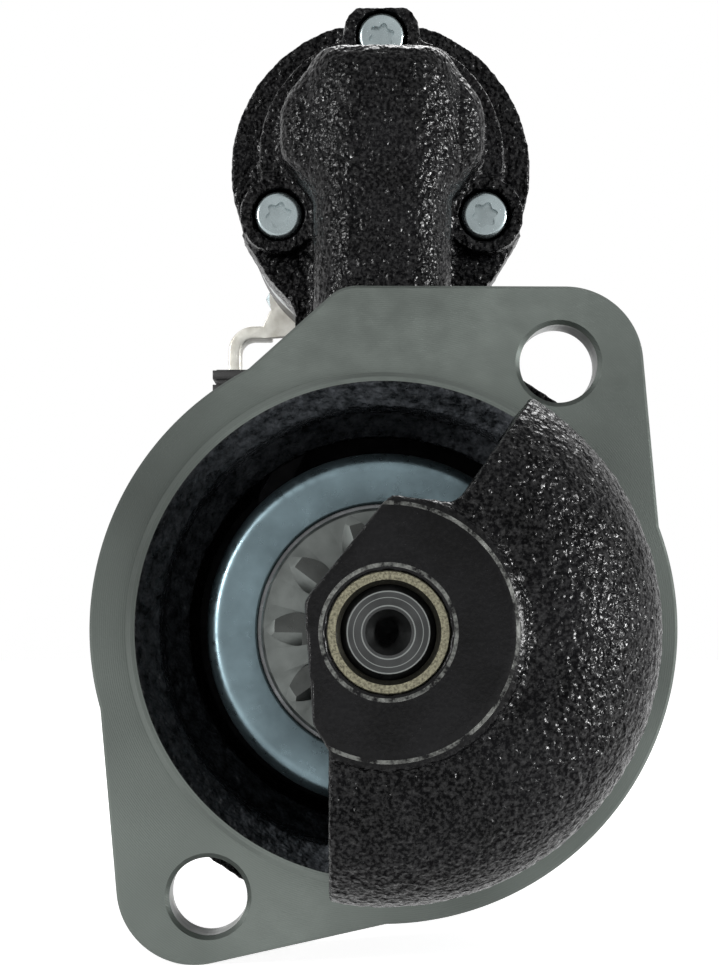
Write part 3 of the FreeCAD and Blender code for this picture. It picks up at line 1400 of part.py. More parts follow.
def solenoid_screws():
    """Pan-head screws with a six-lobed socket."""
    screws = []
    head_front = SEAT_FRONT - 1.0 + 0.4
    for x, z in screw_places():
        seat = SEAT_FRONT - 1.0 + SCREW_HEAD_LONG
        head = lathe([
            (head_front, 0),
            (head_front, SCREW_HEAD_R - 0.8),
            (head_front + 0.8, SCREW_HEAD_R),
            (seat, SCREW_HEAD_R),
            (seat, 0),
        ], x, z)
        shank = rod(SCREW_SHANK_R, seat, SEAT_REAR + SOLENOID_FRONT_WALL - 1.5, x, z)
        lobes = [rod(0.55, head_front - 1, head_front + 1.6, x + 1.45) for x in (0,)]
        socket = [moved(turned(lobes[0], 60 * i), x=x, z=z) for i in range(6)]
        core = rod(1.35, head_front - 1, head_front + 1.6, x, z)
        screws.append(fuse([head, shank]).cut(Part.makeCompound(socket)).cut(core))
    return Part.makeCompound(screws)


NODES = {
    "drive_end_housing": drive_end_housing,
    "nose_bush": nose_bush,
    "lever_pin": lever_pin,
    "bearing_plate": bearing_plate,
    "plate_bush": plate_bush,
    "output_shaft": output_shaft,
    "pilot_bush": pilot_bush,
    "planet_pins": planet_pins,
    "stop_ring": stop_ring,
    "ring_gear": ring_gear,
    "gear_shield": gear_shield,
    "pinion": pinion,
    "clutch_outer": clutch_outer,
    "clutch_rollers": clutch_rollers,
    "roller_springs": roller_springs,
    "clutch_washer": clutch_washer,
    "clutch_cap": clutch_cap,
    "meshing_spring": meshing_spring,
    "sleeve_clip": sleeve_clip,
    "guide_ring": guide_ring,
    "shift_lever": shift_lever,
    "field_frame": field_frame,
    "pole_shoes": pole_shoes,
    "pole_screws": pole_screws,
    "field_coils": field_coils,
    "armature_shaft": armature_shaft,
    "lamination_stack": lamination_stack,
    "armature_winding": armature_winding,
    "commutator": commutator,
    "shaft_clip": shaft_clip,
    "rear_shield": rear_shield,
    "rear_bush": rear_bush,
    "shaft_cap": shaft_cap,
    "cap_screws": cap_screws,
    "through_bolts": through_bolts,
    "brush_plate": brush_plate,
    "brush_springs": brush_springs,
    "solenoid_case": solenoid_case,
    "solenoid_core": solenoid_core,
    "solenoid_bobbin": solenoid_bobbin,
    "solenoid_winding": solenoid_winding,
    "plunger": plunger,
    "return_spring": return_spring,
    "moving_contact": moving_contact,
    "contact_spring": contact_spring,
    "switch_cap": switch_cap,
    "battery_stud": lambda: stud(STUD_ANGLE + 180, CAP_REAR + NUT_THICK),
    "motor_stud": lambda: stud(STUD_ANGLE, motor_nut_rear()),
    "control_terminal": control_terminal,
    "terminal_nuts": terminal_nuts,
    "motor_lead": motor_lead,
    "lead_grommet": lead_grommet,
    "solenoid_screws": solenoid_screws,
}

os.makedirs("parts", exist_ok=True)
for name, build in NODES.items():
    build().exportStep(os.path.join("parts", name + ".step"))
for i in range(PLANET_COUNT):
    planet_gear(90 + 360 * i / PLANET_COUNT).exportStep(f"parts/planet_gear_{i + 1}.step")
for i, carbon in enumerate(ring_of(brush(), BRUSH_COUNT)):
    carbon.exportStep(f"parts/brush_{i + 1}.step")
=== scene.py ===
import math

import bpy
import numpy as np
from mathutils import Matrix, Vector


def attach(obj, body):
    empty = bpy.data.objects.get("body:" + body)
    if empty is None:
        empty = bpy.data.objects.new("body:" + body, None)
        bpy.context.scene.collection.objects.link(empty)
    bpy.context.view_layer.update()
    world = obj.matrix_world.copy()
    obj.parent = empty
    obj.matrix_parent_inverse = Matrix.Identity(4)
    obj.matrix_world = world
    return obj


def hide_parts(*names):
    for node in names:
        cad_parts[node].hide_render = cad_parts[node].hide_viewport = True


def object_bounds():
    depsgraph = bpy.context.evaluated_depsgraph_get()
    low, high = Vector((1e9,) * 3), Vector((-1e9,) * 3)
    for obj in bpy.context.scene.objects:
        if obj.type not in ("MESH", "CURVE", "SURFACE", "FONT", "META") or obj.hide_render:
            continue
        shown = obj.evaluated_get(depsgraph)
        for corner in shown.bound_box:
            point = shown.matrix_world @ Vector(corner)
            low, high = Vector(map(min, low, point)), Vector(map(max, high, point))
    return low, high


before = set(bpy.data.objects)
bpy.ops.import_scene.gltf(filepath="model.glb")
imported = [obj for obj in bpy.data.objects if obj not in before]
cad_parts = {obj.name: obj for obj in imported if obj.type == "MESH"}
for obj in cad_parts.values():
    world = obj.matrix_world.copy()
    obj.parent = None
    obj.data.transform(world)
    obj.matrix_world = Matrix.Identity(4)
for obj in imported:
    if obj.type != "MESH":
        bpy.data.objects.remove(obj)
solids_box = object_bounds()


# Drive-end casting: the nose, the pilot, the neck, the lever housing and the solenoid seat are one
# piece of iron cast in sand, so the skin is coarse and the edges are soft. It is painted gloss
# black, with the flange face and the pilot turned bare afterwards.

NOSE_END = -60.0
NOSE_SHOULDER = -42.0
NOSE_R = 42.0
NOSE_ROOM_R = 36.0
CORE_R = 41.7
NECK_REAR = 23.0
BODY_R = 51.0
BODY_REAR = 52.0
FLAT_REACH = 50.2
BOLT_PLACES = [(29.2, 44.4), (-29.2, -44.4)]
SEAT_Z = 83.5
SEAT_R = 27.4
SEAT_TOP = 109.8
SEAT_FRONT = 27.0
SEAT_REAR = 48.0
BOSS_R = 21.8
EAR_R = 7.0
SCREW_CIRCLE = 21.0
SCREW_HEADS = [(SCREW_CIRCLE * math.cos(math.radians(a)), SEAT_Z + SCREW_CIRCLE * math.sin(math.radians(a)))
               for a in (90, 210, 330)]
POCKET_R = 4.4
BULB_FRONT = 7.0
BULB_ROUND = 4.8
CROWN = 4.5
CROWN_HALF = 13.0
CROWN_REAR = 24.0
CROWN_FADE = 12.0
SAND_GRAIN = 1.3
SAND_DEPTH = 0.45
# Radius and half width of the light rings on the nose end's edges: painted highlights and rubbed paint in
# one.
RIM_WEAR_AND_HIGHLIGHTS = ((0.0189, 0.0003), (0.0099, 0.0003))
MOUTH_FRONT = -0.0064
MOUTH_REAR = 0.017
MOUTH_R = 0.0416


def arc(start, through, end, steps=16):
    """Points after start on the arc that runs through a middle point to end."""
    (ax, ay), (bx, by), (cx, cy) = start, through, end
    span = 2 * (ax * (by - cy) + bx * (cy - ay) + cx * (ay - by))
    a, b, c = ax * ax + ay * ay, bx * bx + by * by, cx * cx + cy * cy
    ux = (a * (by - cy) + b * (cy - ay) + c * (ay - by)) / span
    uy = (a * (cx - bx) + b * (ax - cx) + c * (bx - ax)) / span
    radius = math.hypot(ax - ux, ay - uy)
    first = math.atan2(ay - uy, ax - ux)
    middle = math.atan2(by - uy, bx - ux)
    last = math.atan2(cy - uy, cx - ux)
    sweep = (last - first) % math.tau
    if (middle - first) % math.tau > sweep:
        sweep -= math.tau
    turns = [first + sweep * k / steps for k in range(1, steps + 1)]
    return [(ux + radius * math.cos(t), uy + radius * math.sin(t)) for t in turns]


def soft_outline(corners, steps=10):
    """Outline with each (x, z, radius) corner rounded."""
    points = []
    for i, (x, z, radius) in enumerate(corners):
        if radius == 0:
            points.append((x, z))
            continue
        here = np.array((x, z))
        before = np.array(corners[i - 1][:2]) - here
        after = np.array(corners[(i + 1) % len(corners)][:2]) - here
        before = before / np.linalg.norm(before)
        after = after / np.linalg.norm(after)
        half = math.acos(np.clip(before @ after, -1, 1)) / 2
        into = here + before * radius / math.tan(half)
        out = here + after * radius / math.tan(half)
        bisector = (before + after) / np.linalg.norm(before + after)
        middle = here + bisector * (radius / math.sin(half) - radius)
        points.append(tuple(into))
        points += arc(tuple(into), tuple(middle), tuple(out), steps)
    return points


def shape(name, points, faces):
    """New piece from points in millimetres and faces that turn outwards."""
    mesh = bpy.data.meshes.new(name)
    mesh.from_pydata([tuple(p) for p in points], [], faces)
    mesh.validate()
    piece = bpy.data.objects.new(name, mesh)
    bpy.context.scene.collection.objects.link(piece)
    return piece


def turned(name, profile, x=0.0, z=0.0, steps=160):
    """Piece turned on a lathe: a closed profile of (y, radius) about an axis along Y."""
    area = sum(a[0] * b[1] - b[0] * a[1] for a, b in zip(profile, profile[1:] + profile[:1]))
    if area < 0:
        profile = profile[::-1]
    points = []
    rings = []
    for y, radius in profile:
        if radius <= 1e-6:
            rings.append([len(points)] * steps)
            points.append((x, y, z))
            continue
        rings.append(list(range(len(points), len(points) + steps)))
        for k in range(steps):
            t = math.tau * k / steps
            points.append((x + radius * math.cos(t), y, z + radius * math.sin(t)))
    faces = []
    for near, far in zip(rings, rings[1:] + rings[:1]):
        for k in range(steps):
            n = (k + 1) % steps
            corners = [near[k], near[n], far[n], far[k]]
            face = [c for i, c in enumerate(corners) if c != corners[i - 1]]
            if len(face) > 2:
                faces.append(face)
    return shape(name, points, faces)


def ringed(name, rings):
    """Solid through rings of (x, z) points, given with their places on Y, front to rear."""
    count = len(rings[0][0])
    points = [(x, y, z) for ring, y in rings for x, z in ring]
    faces = [list(range(count)), list(range(len(points) - 1, len(points) - count - 1, -1))]
    for low in range(0, len(points) - count, count):
        for k in range(count):
            n = (k + 1) % count
            faces.append([low + k, low + k + count, low + n + count, low + n])
    return shape(name, points, faces)


def slab(name, outline, front, rear):
    """Plate with an (x, z) outline between two places on Y."""
    area = sum(a[0] * b[1] - b[0] * a[1] for a, b in zip(outline, outline[1:] + outline[:1]))
    if area < 0:
        outline = outline[::-1]
    return ringed(name, [(outline, front), (outline, rear)])


def rod(radius, front, rear, x=0.0, z=0.0, steps=96):
    """Plain round bar, used to join to or cut from a piece."""
    return turned("rod", [(front, 0), (front, radius), (rear, radius), (rear, 0)], x, z, steps)


def block(x0, x1, y0, y1, z0, z1):
    """Plain block, used to join to or cut from a piece."""
    return slab("block", [(x0, z0), (x1, z0), (x1, z1), (x0, z1)], y0, y1)


def settle(piece):
    """Keeps what the piece's modifiers make of it."""
    bpy.context.view_layer.update()
    made = piece.evaluated_get(bpy.context.evaluated_depsgraph_get())
    mesh = bpy.data.meshes.new_from_object(made)
    rough = piece.data
    piece.modifiers.clear()
    piece.data = mesh
    bpy.data.meshes.remove(rough)


def machine(piece, tools, operation):
    """Joins the tools to the piece (UNION), cuts them away (DIFFERENCE) or keeps what is in them."""
    for tool in tools:
        step = piece.modifiers.new("tool", "BOOLEAN")
        step.operation = operation
        step.object = tool
        step.solver = "MANIFOLD"
    settle(piece)
    for tool in tools:
        bpy.data.objects.remove(tool)
    return piece


def together(pieces):
    """Joins separate pieces to the first of them."""
    for piece in pieces[1:]:
        machine(pieces[0], [piece], "UNION")
    return pieces[0]


def hand_over(piece, finish, body, nodes, sharp=35):
    """Brings a piece to metres and puts it on its body in place of the plain solids."""
    points = np.empty(len(piece.data.vertices) * 3)
    piece.data.vertices.foreach_get("co", points)
    piece.data.vertices.foreach_set("co", points * 0.001)
    piece.data.shade_smooth()
    piece.data.set_sharp_from_angle(angle=math.radians(sharp))
    piece.data.materials.clear()
    for coat in finish if isinstance(finish, list) else [finish]:
        piece.data.materials.append(coat)
    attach(piece, body)
    if nodes:
        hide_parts(*nodes)
    return piece


def new_finish(name, colour, metal, roughness):
    finish = bpy.data.materials.new(name)
    finish.use_nodes = True
    shader = finish.node_tree.nodes["Principled BSDF"]
    shader.inputs["Base Color"].default_value = (*colour, 1)
    shader.inputs["Metallic"].default_value = metal
    shader.inputs["Roughness"].default_value = roughness
    return finish


def add(finish, kind, values=None, **settings):
    """New node in a finish, with its settings and the values of its sockets."""
    made = finish.node_tree.nodes.new("ShaderNode" + kind)
    for name, value in settings.items():
        setattr(made, name, value)
    for name, value in (values or {}).items():
        made.inputs[name].default_value = value
    return made


def join(finish, output, socket):
    finish.node_tree.links.new(output, socket)


def place(finish):
    """Place on the piece, in metres from the middle of the flange."""
    return add(finish, "TexCoord").outputs["Object"]


def spots(finish, size, detail=2.0, rough=0.5, at=None):
    """Noise whose patches are about size metres across."""
    noise = add(finish, "TexNoise", {"Scale": 1 / size, "Detail": detail, "Roughness": rough})
    join(finish, at or place(finish), noise.inputs["Vector"])
    return noise.outputs["Fac"]


def shades(finish, amount, dark, light, low=0.35, high=0.65):
    """Colour between two shades."""
    ramp = add(finish, "ValToRGB")
    ramp.color_ramp.elements[0].position = low
    ramp.color_ramp.elements[0].color = (*dark, 1)
    ramp.color_ramp.elements[1].position = high
    ramp.color_ramp.elements[1].color = (*light, 1)
    join(finish, amount, ramp.inputs["Fac"])
    return ramp.outputs["Color"]


def between(finish, amount, low, high):
    """Number between low and high as amount goes from 0.3 to 0.7."""
    step = add(finish, "MapRange", {"From Min": 0.3, "From Max": 0.7, "To Min": low, "To Max": high})
    join(finish, amount, step.inputs["Value"])
    return step.outputs["Result"]


def shader_of(finish):
    return finish.node_tree.nodes["Principled BSDF"]


def relief(finish, amount, depth, strength=1.0, under=None):
    """Bump whose height is depth metres; under is a bump that it lies on."""
    bump = add(finish, "Bump", {"Strength": strength, "Distance": depth})
    join(finish, amount, bump.inputs["Height"])
    if under:
        join(finish, under, bump.inputs["Normal"])
    return bump.outputs["Normal"]


def sum_of(finish, operation, first, second, clamp=False):
    """Result of one arithmetic step on two outputs or numbers."""
    step = add(finish, "Math", operation=operation, use_clamp=clamp)
    for socket, value in zip(step.inputs, (first, second)):
        if isinstance(value, float):
            socket.default_value = value
        else:
            join(finish, value, socket)
    return step.outputs[0]


def reach_and_depth(finish, at):
    """Distance from the shaft axis and place along it, in metres."""
    apart = add(finish, "SeparateXYZ")
    join(finish, at, apart.inputs[0])
    across = add(finish, "CombineXYZ")
    join(finish, apart.outputs["X"], across.inputs["X"])
    join(finish, apart.outputs["Z"], across.inputs["Y"])
    reach = add(finish, "VectorMath", operation="LENGTH")
    join(finish, across.outputs[0], reach.inputs[0])
    return reach.outputs["Value"], apart.outputs["Y"]


def ring_lines(finish, reach, lines):
    """Mask that is 1 on thin rings; lines holds each ring's radius and half width in metres."""
    mask = 0.0
    for radius, half in lines:
        line = add(finish, "Math", {1: radius, 2: half}, operation="COMPARE")
        join(finish, reach, line.inputs[0])
        mask = sum_of(finish, "ADD", line.outputs[0], mask)
    return mask


def mixed(finish, amount, first, second):
    """Colour that goes from first to second with amount; either may be an output or a colour."""
    mix = add(finish, "Mix", data_type="RGBA")
    join(finish, amount, mix.inputs[0])
    for socket, value in ((mix.inputs[6], first), (mix.inputs[7], second)):
        if isinstance(value, tuple):
            socket.default_value = (*value, 1)
        else:
            join(finish, value, socket)
    return mix.outputs[2]


def scaled(colour, by):
    return tuple(c * by for c in colour)


def vary(finish, colour, tone, sheen, grain):
    """Gives a finish patches of tone, an uneven sheen and a fine grain.

    tone is a size, a detail and the darkest and lightest shade of the colour; sheen is a size, a
    detail and the least and most roughness; grain is a size, a detail, a coarseness, a depth and
    a strength. Sheen may be None.
    """
    shader = shader_of(finish)
    size, detail, dark, light = tone
    patches = shades(finish, spots(finish, size, detail), scaled(colour, dark), scaled(colour, light))
    join(finish, patches, shader.inputs["Base Color"])
    if sheen:
        size, detail, low, high = sheen
        join(finish, between(finish, spots(finish, size, detail), low, high), shader.inputs["Roughness"])
    size, detail, rough, depth, strength = grain
    join(finish, relief(finish, spots(finish, size, detail, rough), depth, strength), shader.inputs["Normal"])
    return finish


def painted_casting():
    """Black paint over a sand-cast skin, smooth on the nose's end. Light rings on that end's edges are
    painted highlights together with paint rubbed to iron; the mouth behind it gets a lighter, brushed tone
    that is painted light."""
    finish = new_finish("painted casting", (0.004, 0.004, 0.0045), 0.0, 0.3)
    shader = shader_of(finish)
    at = place(finish)
    reach, depth = reach_and_depth(finish, at)
    on_end = sum_of(finish, "LESS_THAN", depth, (NOSE_END + 1.6) / 1000)
    # Light rings on the nose end's edges: painted highlights where the edges catch the light, with paint
    # rubbed to iron, broken into chips.
    rim_wear_and_highlights = sum_of(finish, "MULTIPLY", ring_lines(finish, reach, RIM_WEAR_AND_HIGHLIGHTS), on_end)
    chips = between(finish, spots(finish, 0.0025, 4, 0.8, at=at), -0.5, 1.4)
    chipped_rim_wear_and_highlights = sum_of(finish, "MULTIPLY", rim_wear_and_highlights, chips, True)
    behind = sum_of(finish, "GREATER_THAN", depth, MOUTH_FRONT)
    ahead = sum_of(finish, "LESS_THAN", depth, MOUTH_REAR)
    inside = sum_of(finish, "LESS_THAN", reach, MOUTH_R)
    mouth = sum_of(finish, "MULTIPLY", sum_of(finish, "MULTIPLY", behind, ahead), inside)
    tone = shades(finish, spots(finish, 0.009, 3, at=at), (0.001, 0.001, 0.0012), (0.004, 0.004, 0.0045))
    # Lighter tone in the mouth: painted light on the inner bevel and bore, over the brushed streaks of the
    # paint.
    mouth_streaks_and_light = shades(finish, spots(finish, 0.0022, 4, 0.7, at=at), (0.006, 0.007, 0.008), (0.06, 0.065, 0.072))
    coat = mixed(finish, mouth, tone, mouth_streaks_and_light)
    join(finish, mixed(finish, chipped_rim_wear_and_highlights, coat, (0.16, 0.165, 0.155)), shader.inputs["Base Color"])
    join(finish, between(finish, spots(finish, 0.0015, 2, at=at), 0.16, 0.3), shader.inputs["Roughness"])
    coarse = add(finish, "MapRange", {"From Min": NOSE_END / 1000 + 0.0006, "To Min": 0.12, "To Max": 1.0,
                                      "From Max": NOSE_END / 1000 + 0.0012})
    join(finish, depth, coarse.inputs["Value"])
    specks = add(finish, "MapRange", {"From Min": 0.42, "From Max": 0.72, "To Min": 0.03, "To Max": 0.38})
    join(finish, spots(finish, 0.0006, 3, 0.6, at=at), specks.inputs["Value"])
    gloss = sum_of(finish, "MULTIPLY", specks.outputs["Result"], coarse.outputs["Result"])
    plain = sum_of(finish, "MULTIPLY", sum_of(finish, "SUBTRACT", 1.0, coarse.outputs["Result"]), 0.13)
    join(finish, sum_of(finish, "ADD", gloss, plain), shader.inputs["Specular IOR Level"])
    lumps = add(finish, "Bump", {"Distance": 0.0007})
    join(finish, coarse.outputs["Result"], lumps.inputs["Strength"])
    join(finish, spots(finish, 0.0013, 1.5, 0.6, at=at), lumps.inputs["Height"])
    grains = relief(finish, spots(finish, 0.0006, 2, 0.6, at=at), 0.0001, 0.5, lumps.outputs["Normal"])
    join(finish, grains, shader.inputs["Normal"])
    return finish


def evenly(outline, step):
    """Closed outline with points about step apart."""
    points = []
    for (ax, az), (bx, bz) in zip(outline, outline[1:] + outline[:1]):
        count = max(1, round(math.hypot(bx - ax, bz - az) / step))
        points += [(ax + (bx - ax) * k / count, az + (bz - az) * k / count) for k in range(count)]
    return points


def inward_of(outline):
    """Way into the outline at each of its points."""
    ahead = np.roll(outline, -1, 0) - np.roll(outline, 1, 0)
    ahead /= np.linalg.norm(ahead, axis=1)[:, None]
    return np.stack([-ahead[:, 1], ahead[:, 0]], 1)


def domed(name, outline, front, rear, edge, steps=8):
    """Bar with an (x, z) outline whose front edge is rounded."""
    outline = np.array(evenly(outline, 0.7))
    inward = inward_of(outline)
    rings = []
    for k in range(steps + 1):
        t = math.pi / 2 * k / steps
        rings.append((outline + inward * edge * (1 - math.sin(t)), front + edge * (1 - math.cos(t))))
    rings.append((outline, rear))
    return ringed(name, rings)


def mirrored(half):
    """Whole outline from its right half."""
    return half + [(-x, z, radius) for x, z, radius in reversed(half)]


def drive_end_casting():
    bend_y = NOSE_END + (NOSE_SHOULDER - NOSE_END) * 0.36
    start = (NOSE_END + 2.0, 21.2)
    outer = [(NOSE_END, 0), (NOSE_END, 18.0)]
    outer += arc((NOSE_END, 18.0), (NOSE_END + 0.6, 19.4), start, 8)
    outer += arc(start, (bend_y, 35.5), (NOSE_SHOULDER, NOSE_R), 24)
    outer += [(-7.0, 42.1), (-7.0, 0)]
    inner_end = NOSE_END + 13.0
    inner = [(1, 0), (inner_end, 0), (inner_end, 22.0)]
    inner += arc((inner_end, 22.0), (inner_end + 2.5, 31.7), (NOSE_SHOULDER + 2.0, NOSE_ROOM_R), 16)
    inner += [(1, NOSE_ROOM_R)]
    casting = turned("drive_end_casting", outer, steps=256)
    ring = turned("ring", [(-7.2, 0), (-7.2, NOSE_R), (-5.7, CORE_R), (0, CORE_R), (0, 0)], steps=256)
    machine(casting, [turned("hollow", inner, steps=256)], "DIFFERENCE")
    far = 70.0
    slope = math.tan(math.radians(58))
    window = soft_outline([
        (-8.9, -far, 0), (-8.9, -17.0, 1.2), (-11.0, -13.4, 1.2), (-12.3, 4.5, 1.5), (0.2, 20.2, 2.0),
        (10.0, 19.2, 2.0), (22.5, 36.7, 2.0), (22.5 + far / slope, 36.7 + far, 0), (-far, 36.7 + far, 0),
        (-far, -far, 0),
    ])
    machine(casting, [slab("window", window, NOSE_END - 1, -5.5)], "DIFFERENCE")
    room = rod(NOSE_ROOM_R, -8, 1, steps=256)
    machine(ring, [room, slab("window", window, NOSE_END - 1, -5.7)], "DIFFERENCE")

    body = rod(BODY_R, NECK_REAR, BODY_REAR, steps=256)
    tilt = math.atan2(BOLT_PLACES[0][1], BOLT_PLACES[0][0])
    flats = []
    for side in (tilt, tilt + math.pi):
        across = (math.cos(side), math.sin(side))
        along = (-across[1], across[0])
        corners = [(u * across[0] + v * along[0], u * across[1] + v * along[1])
                   for u, v in ((FLAT_REACH, -60), (90, -60), (90, 60), (FLAT_REACH, 60))]
        flats.append(slab("flat", corners, NECK_REAR - 1, BODY_REAR + 1))
    machine(body, flats, "DIFFERENCE")

    saddle = soft_outline(mirrored([(15.5, 30, 0), (15.5, 57, 3), (20.5, 62.5, 4), (25, 70, 0)]))
    bulb = soft_outline(mirrored([(12, 43.5, 0), (12, 74.5, 4), (17.8, 82, 5), (17.8, 90.5, 8),
                                  (10.5, 100, 5)]))
    fork_room = [(-23.5, 0), (23.5, 0), (23.5, 28.0), (13.0, 46.0), (-13.0, 46.0), (-23.5, 28.0)]
    fork_wall = soft_outline([(-26.9, 0, 0), (26.9, 0, 0), (26.9, 31.4, 4), (16.4, 49.4, 3),
                              (-16.4, 49.4, 3), (-26.9, 31.4, 4)])
    parts = [
        ring,
        rod(CORE_R, -1, NECK_REAR + 1, steps=256),
        body,
        rod(SEAT_R, 44.0, SEAT_REAR, z=SEAT_Z, steps=192),
        rod(BOSS_R, SEAT_FRONT + 1.0, SEAT_REAR, z=SEAT_Z, steps=160),
        domed("bulb", bulb, BULB_FRONT, SEAT_REAR, BULB_ROUND),
        slab("saddle", saddle, 32.0, SEAT_REAR),
        slab("fork_wall", fork_wall, 19.0, BODY_REAR),
    ]
    parts += [rod(EAR_R, SEAT_FRONT, SEAT_REAR, x, z) for x, z in SCREW_HEADS]
    machine(casting, parts, "UNION")

    throat = [(-6.2, 0), (-6.2, 41.2), (-1.0, 37.0), (12.0, 37.0), (16.0, 33.0), (60, 33.0), (60, 0)]
    bore = turned("bore", throat, steps=256)
    behind_nose = rod(60, -8, 0, steps=64)
    machine(behind_nose, [slab("window", window, -9, 1)], "DIFFERENCE")
    machine(bore, [behind_nose], "DIFFERENCE")
    tools = [
        bore,
        rod(NOSE_ROOM_R, -7.0, 1.0, steps=256),
        slab("fork_room", fork_room, 21.0, 60.0),
        block(-5.5, 5.5, 21.0, 60.0, 30.0, SEAT_Z),
        block(-9.9, 9.9, 21.5, 60.0, 40.0, 58.5),
        block(-14, 14, SEAT_FRONT - 1, SEAT_REAR + 1, SEAT_TOP, 120),
        rod(12.5, 14.3, 60.0, z=SEAT_Z),
        rod(9.05, NOSE_END - 1, -40.0),
    ]
    tools += [rod(POCKET_R, SEAT_FRONT - 1, 30.0, x, z, 48) for x, z in SCREW_HEADS]
    machine(casting, tools, "DIFFERENCE")

    skin = casting.modifiers.new("skin", "REMESH")
    skin.mode = "VOXEL"
    skin.voxel_size = 0.5
    rub = casting.modifiers.new("rubbed edges", "SMOOTH")
    rub.factor = 0.5
    rub.iterations = 5
    settle(casting)
    for point in casting.data.vertices:
        x, y, z = point.co
        if y < CROWN_REAR and z > 45:
            fade = min(1, (CROWN_REAR - y) / CROWN_FADE)
            point.co.y += CROWN * min(1, abs(x) / CROWN_HALF) ** 3 * fade
    skin_group = casting.vertex_groups.new(name="sand skin")
    rough = [v.index for v in casting.data.vertices if v.co.y > NOSE_END + 1.2]
    skin_group.add(rough, 1.0, "REPLACE")
    sand = bpy.data.textures.new("sand", "CLOUDS")
    sand.noise_scale = SAND_GRAIN
    sand.noise_depth = 2
    press = casting.modifiers.new("sand skin", "DISPLACE")
    press.vertex_group = skin_group.name
    press.texture = sand
    press.texture_coords = "LOCAL"
    press.strength = SAND_DEPTH
    press.mid_level = 1.0
    settle(casting)
    return hand_over(casting, casting_paint, "housing", ["drive_end_housing"], 180)


casting_paint = painted_casting()
drive_end_casting()


# Mounting flange and pilot: the same casting's 12 mm plate, faced and turned in one setting, so
# the face carries fine rings round the shaft. Its edge is left as cast and painted, and two bolt
# holes are drilled through and chamfered.

PILOT_R = 42.5


def swept(finish, amount):
    """Sheen drawn out across the rings that a lathe leaves about the shaft axis."""
    shader_of(finish).inputs["Anisotropic"].default_value = amount
    along = add(finish, "Tangent", direction_type="RADIAL", axis="Y")
    join(finish, along.outputs[0], shader_of(finish).inputs["Tangent"])


def turned_face(name, colour, roughness, pitch):
    """Bare iron or steel faced on a lathe: rings about the shaft axis, with a little stain."""
    finish = new_finish(name, colour, 0.9, roughness)
    shader = shader_of(finish)
    swept(finish, 0.4)
    at = place(finish)
    rings = add(finish, "TexWave", {"Scale": math.tau / 20 / pitch, "Distortion": 0.6, "Detail": 2.0,
                                    "Detail Scale": 1.5}, wave_type="RINGS", rings_direction="Y")
    join(finish, at, rings.inputs["Vector"])
    tone = shades(finish, spots(finish, 0.05, 2, at=at), scaled(colour, 0.62), scaled(colour, 1.2))
    dust = add(finish, "Mix", {"Factor": 0.3}, data_type="RGBA", blend_type="MULTIPLY")
    join(finish, tone, dust.inputs[6])
    join(finish, shades(finish, rings.outputs["Fac"], (0.8, 0.8, 0.8), (1, 1, 1), 0.2, 0.8), dust.inputs[7])
    join(finish, dust.outputs[2], shader.inputs["Base Color"])
    join(finish, between(finish, spots(finish, 0.004, 3, at=at), roughness - 0.06, roughness + 0.1),
         shader.inputs["Roughness"])
    cut = relief(finish, rings.outputs["Fac"], 0.00002, 0.5)
    pores = relief(finish, spots(finish, 0.0005, 2, at=at), 0.00006, 0.35, cut)
    join(finish, pores, shader.inputs["Normal"])
    return finish


def flange_outline(step=0.25):
    """Circle with its two lobes, as the farthest reach in each direction from the shaft."""
    upper = soft_outline([(-22.4, 43.6, 0), (-7.0, 57.4, 7), (42.2, 57.2, 13), (46.0, 16.0, 0),
                          (0, 0, 0)], 24)
    lower = soft_outline([(4.0, -48.2, 0), (-43.2, -58.8, 13), (-47.2, -13.0, 0), (0, 0, 0)], 24)
    outline = []
    for k in range(int(360 / step)):
        t = math.radians(k * step)
        way = np.array((math.cos(t), math.sin(t)))
        reach = 49.0
        for lobe in (upper, lower):
            for a, b in zip(lobe, lobe[1:] + lobe[:1]):
                edge = (b[0] - a[0], b[1] - a[1])
                turn = way[0] * edge[1] - way[1] * edge[0]
                if abs(turn) < 1e-9:
                    continue
                out = (a[0] * edge[1] - a[1] * edge[0]) / turn
                along = (a[0] * way[1] - a[1] * way[0]) / turn
                if out > reach and -1e-9 <= along <= 1 + 1e-9:
                    reach = out
        outline.append((reach * way[0], reach * way[1]))
    return outline


def mounting_flange():
    outline = np.array(flange_outline())
    inward = inward_of(outline)
    flange = ringed("mounting_flange", [(outline + inward * 0.45, 0.0), (outline, 0.45), (outline, 11.2),
                                        (outline + inward * 0.8, 12.0)])
    tools = [rod(41.0, -1, 13, steps=256)]
    for x, z in BOLT_PLACES:
        tools.append(turned("hole", [(-0.3, 0), (-0.3, 7.55), (0.75, 6.5), (11.25, 6.5), (12.3, 7.55),
                                     (12.3, 0)], x, z, 96))
    machine(flange, tools, "DIFFERENCE")
    pilot = turned("pilot", [(-6.0, 41.0), (-6.0, CORE_R), (-5.2, PILOT_R), (-0.4, PILOT_R), (0.5, 42.3),
                             (0.5, 41.3), (-5.4, 41.3)], steps=256)
    machine(flange, [pilot], "UNION")
    hand_over(flange, [flange_iron, casting_paint], "housing", ["drive_end_housing"], 25)
    for face in flange.data.polygons:
        middle = face.center * 1000
        reach = math.hypot(middle.x, middle.z)
        in_hole = any(math.hypot(middle.x - x, middle.z - z) < 7.6 for x, z in BOLT_PLACES)
        front = middle.y < 0.46 and face.normal.y < -0.3
        face.material_index = 0 if front or in_hole or (reach < 43 and middle.y < 1) else 1


flange_iron = turned_face("turned flange iron", (0.115, 0.13, 0.12), 0.34, 0.00035)
mounting_flange()


# Nose bush: a sintered bronze sleeve soaked in oil, pressed into the nose for the end of the
# shaft. It is pale and finely pitted, with a small chamfer at its mouth.

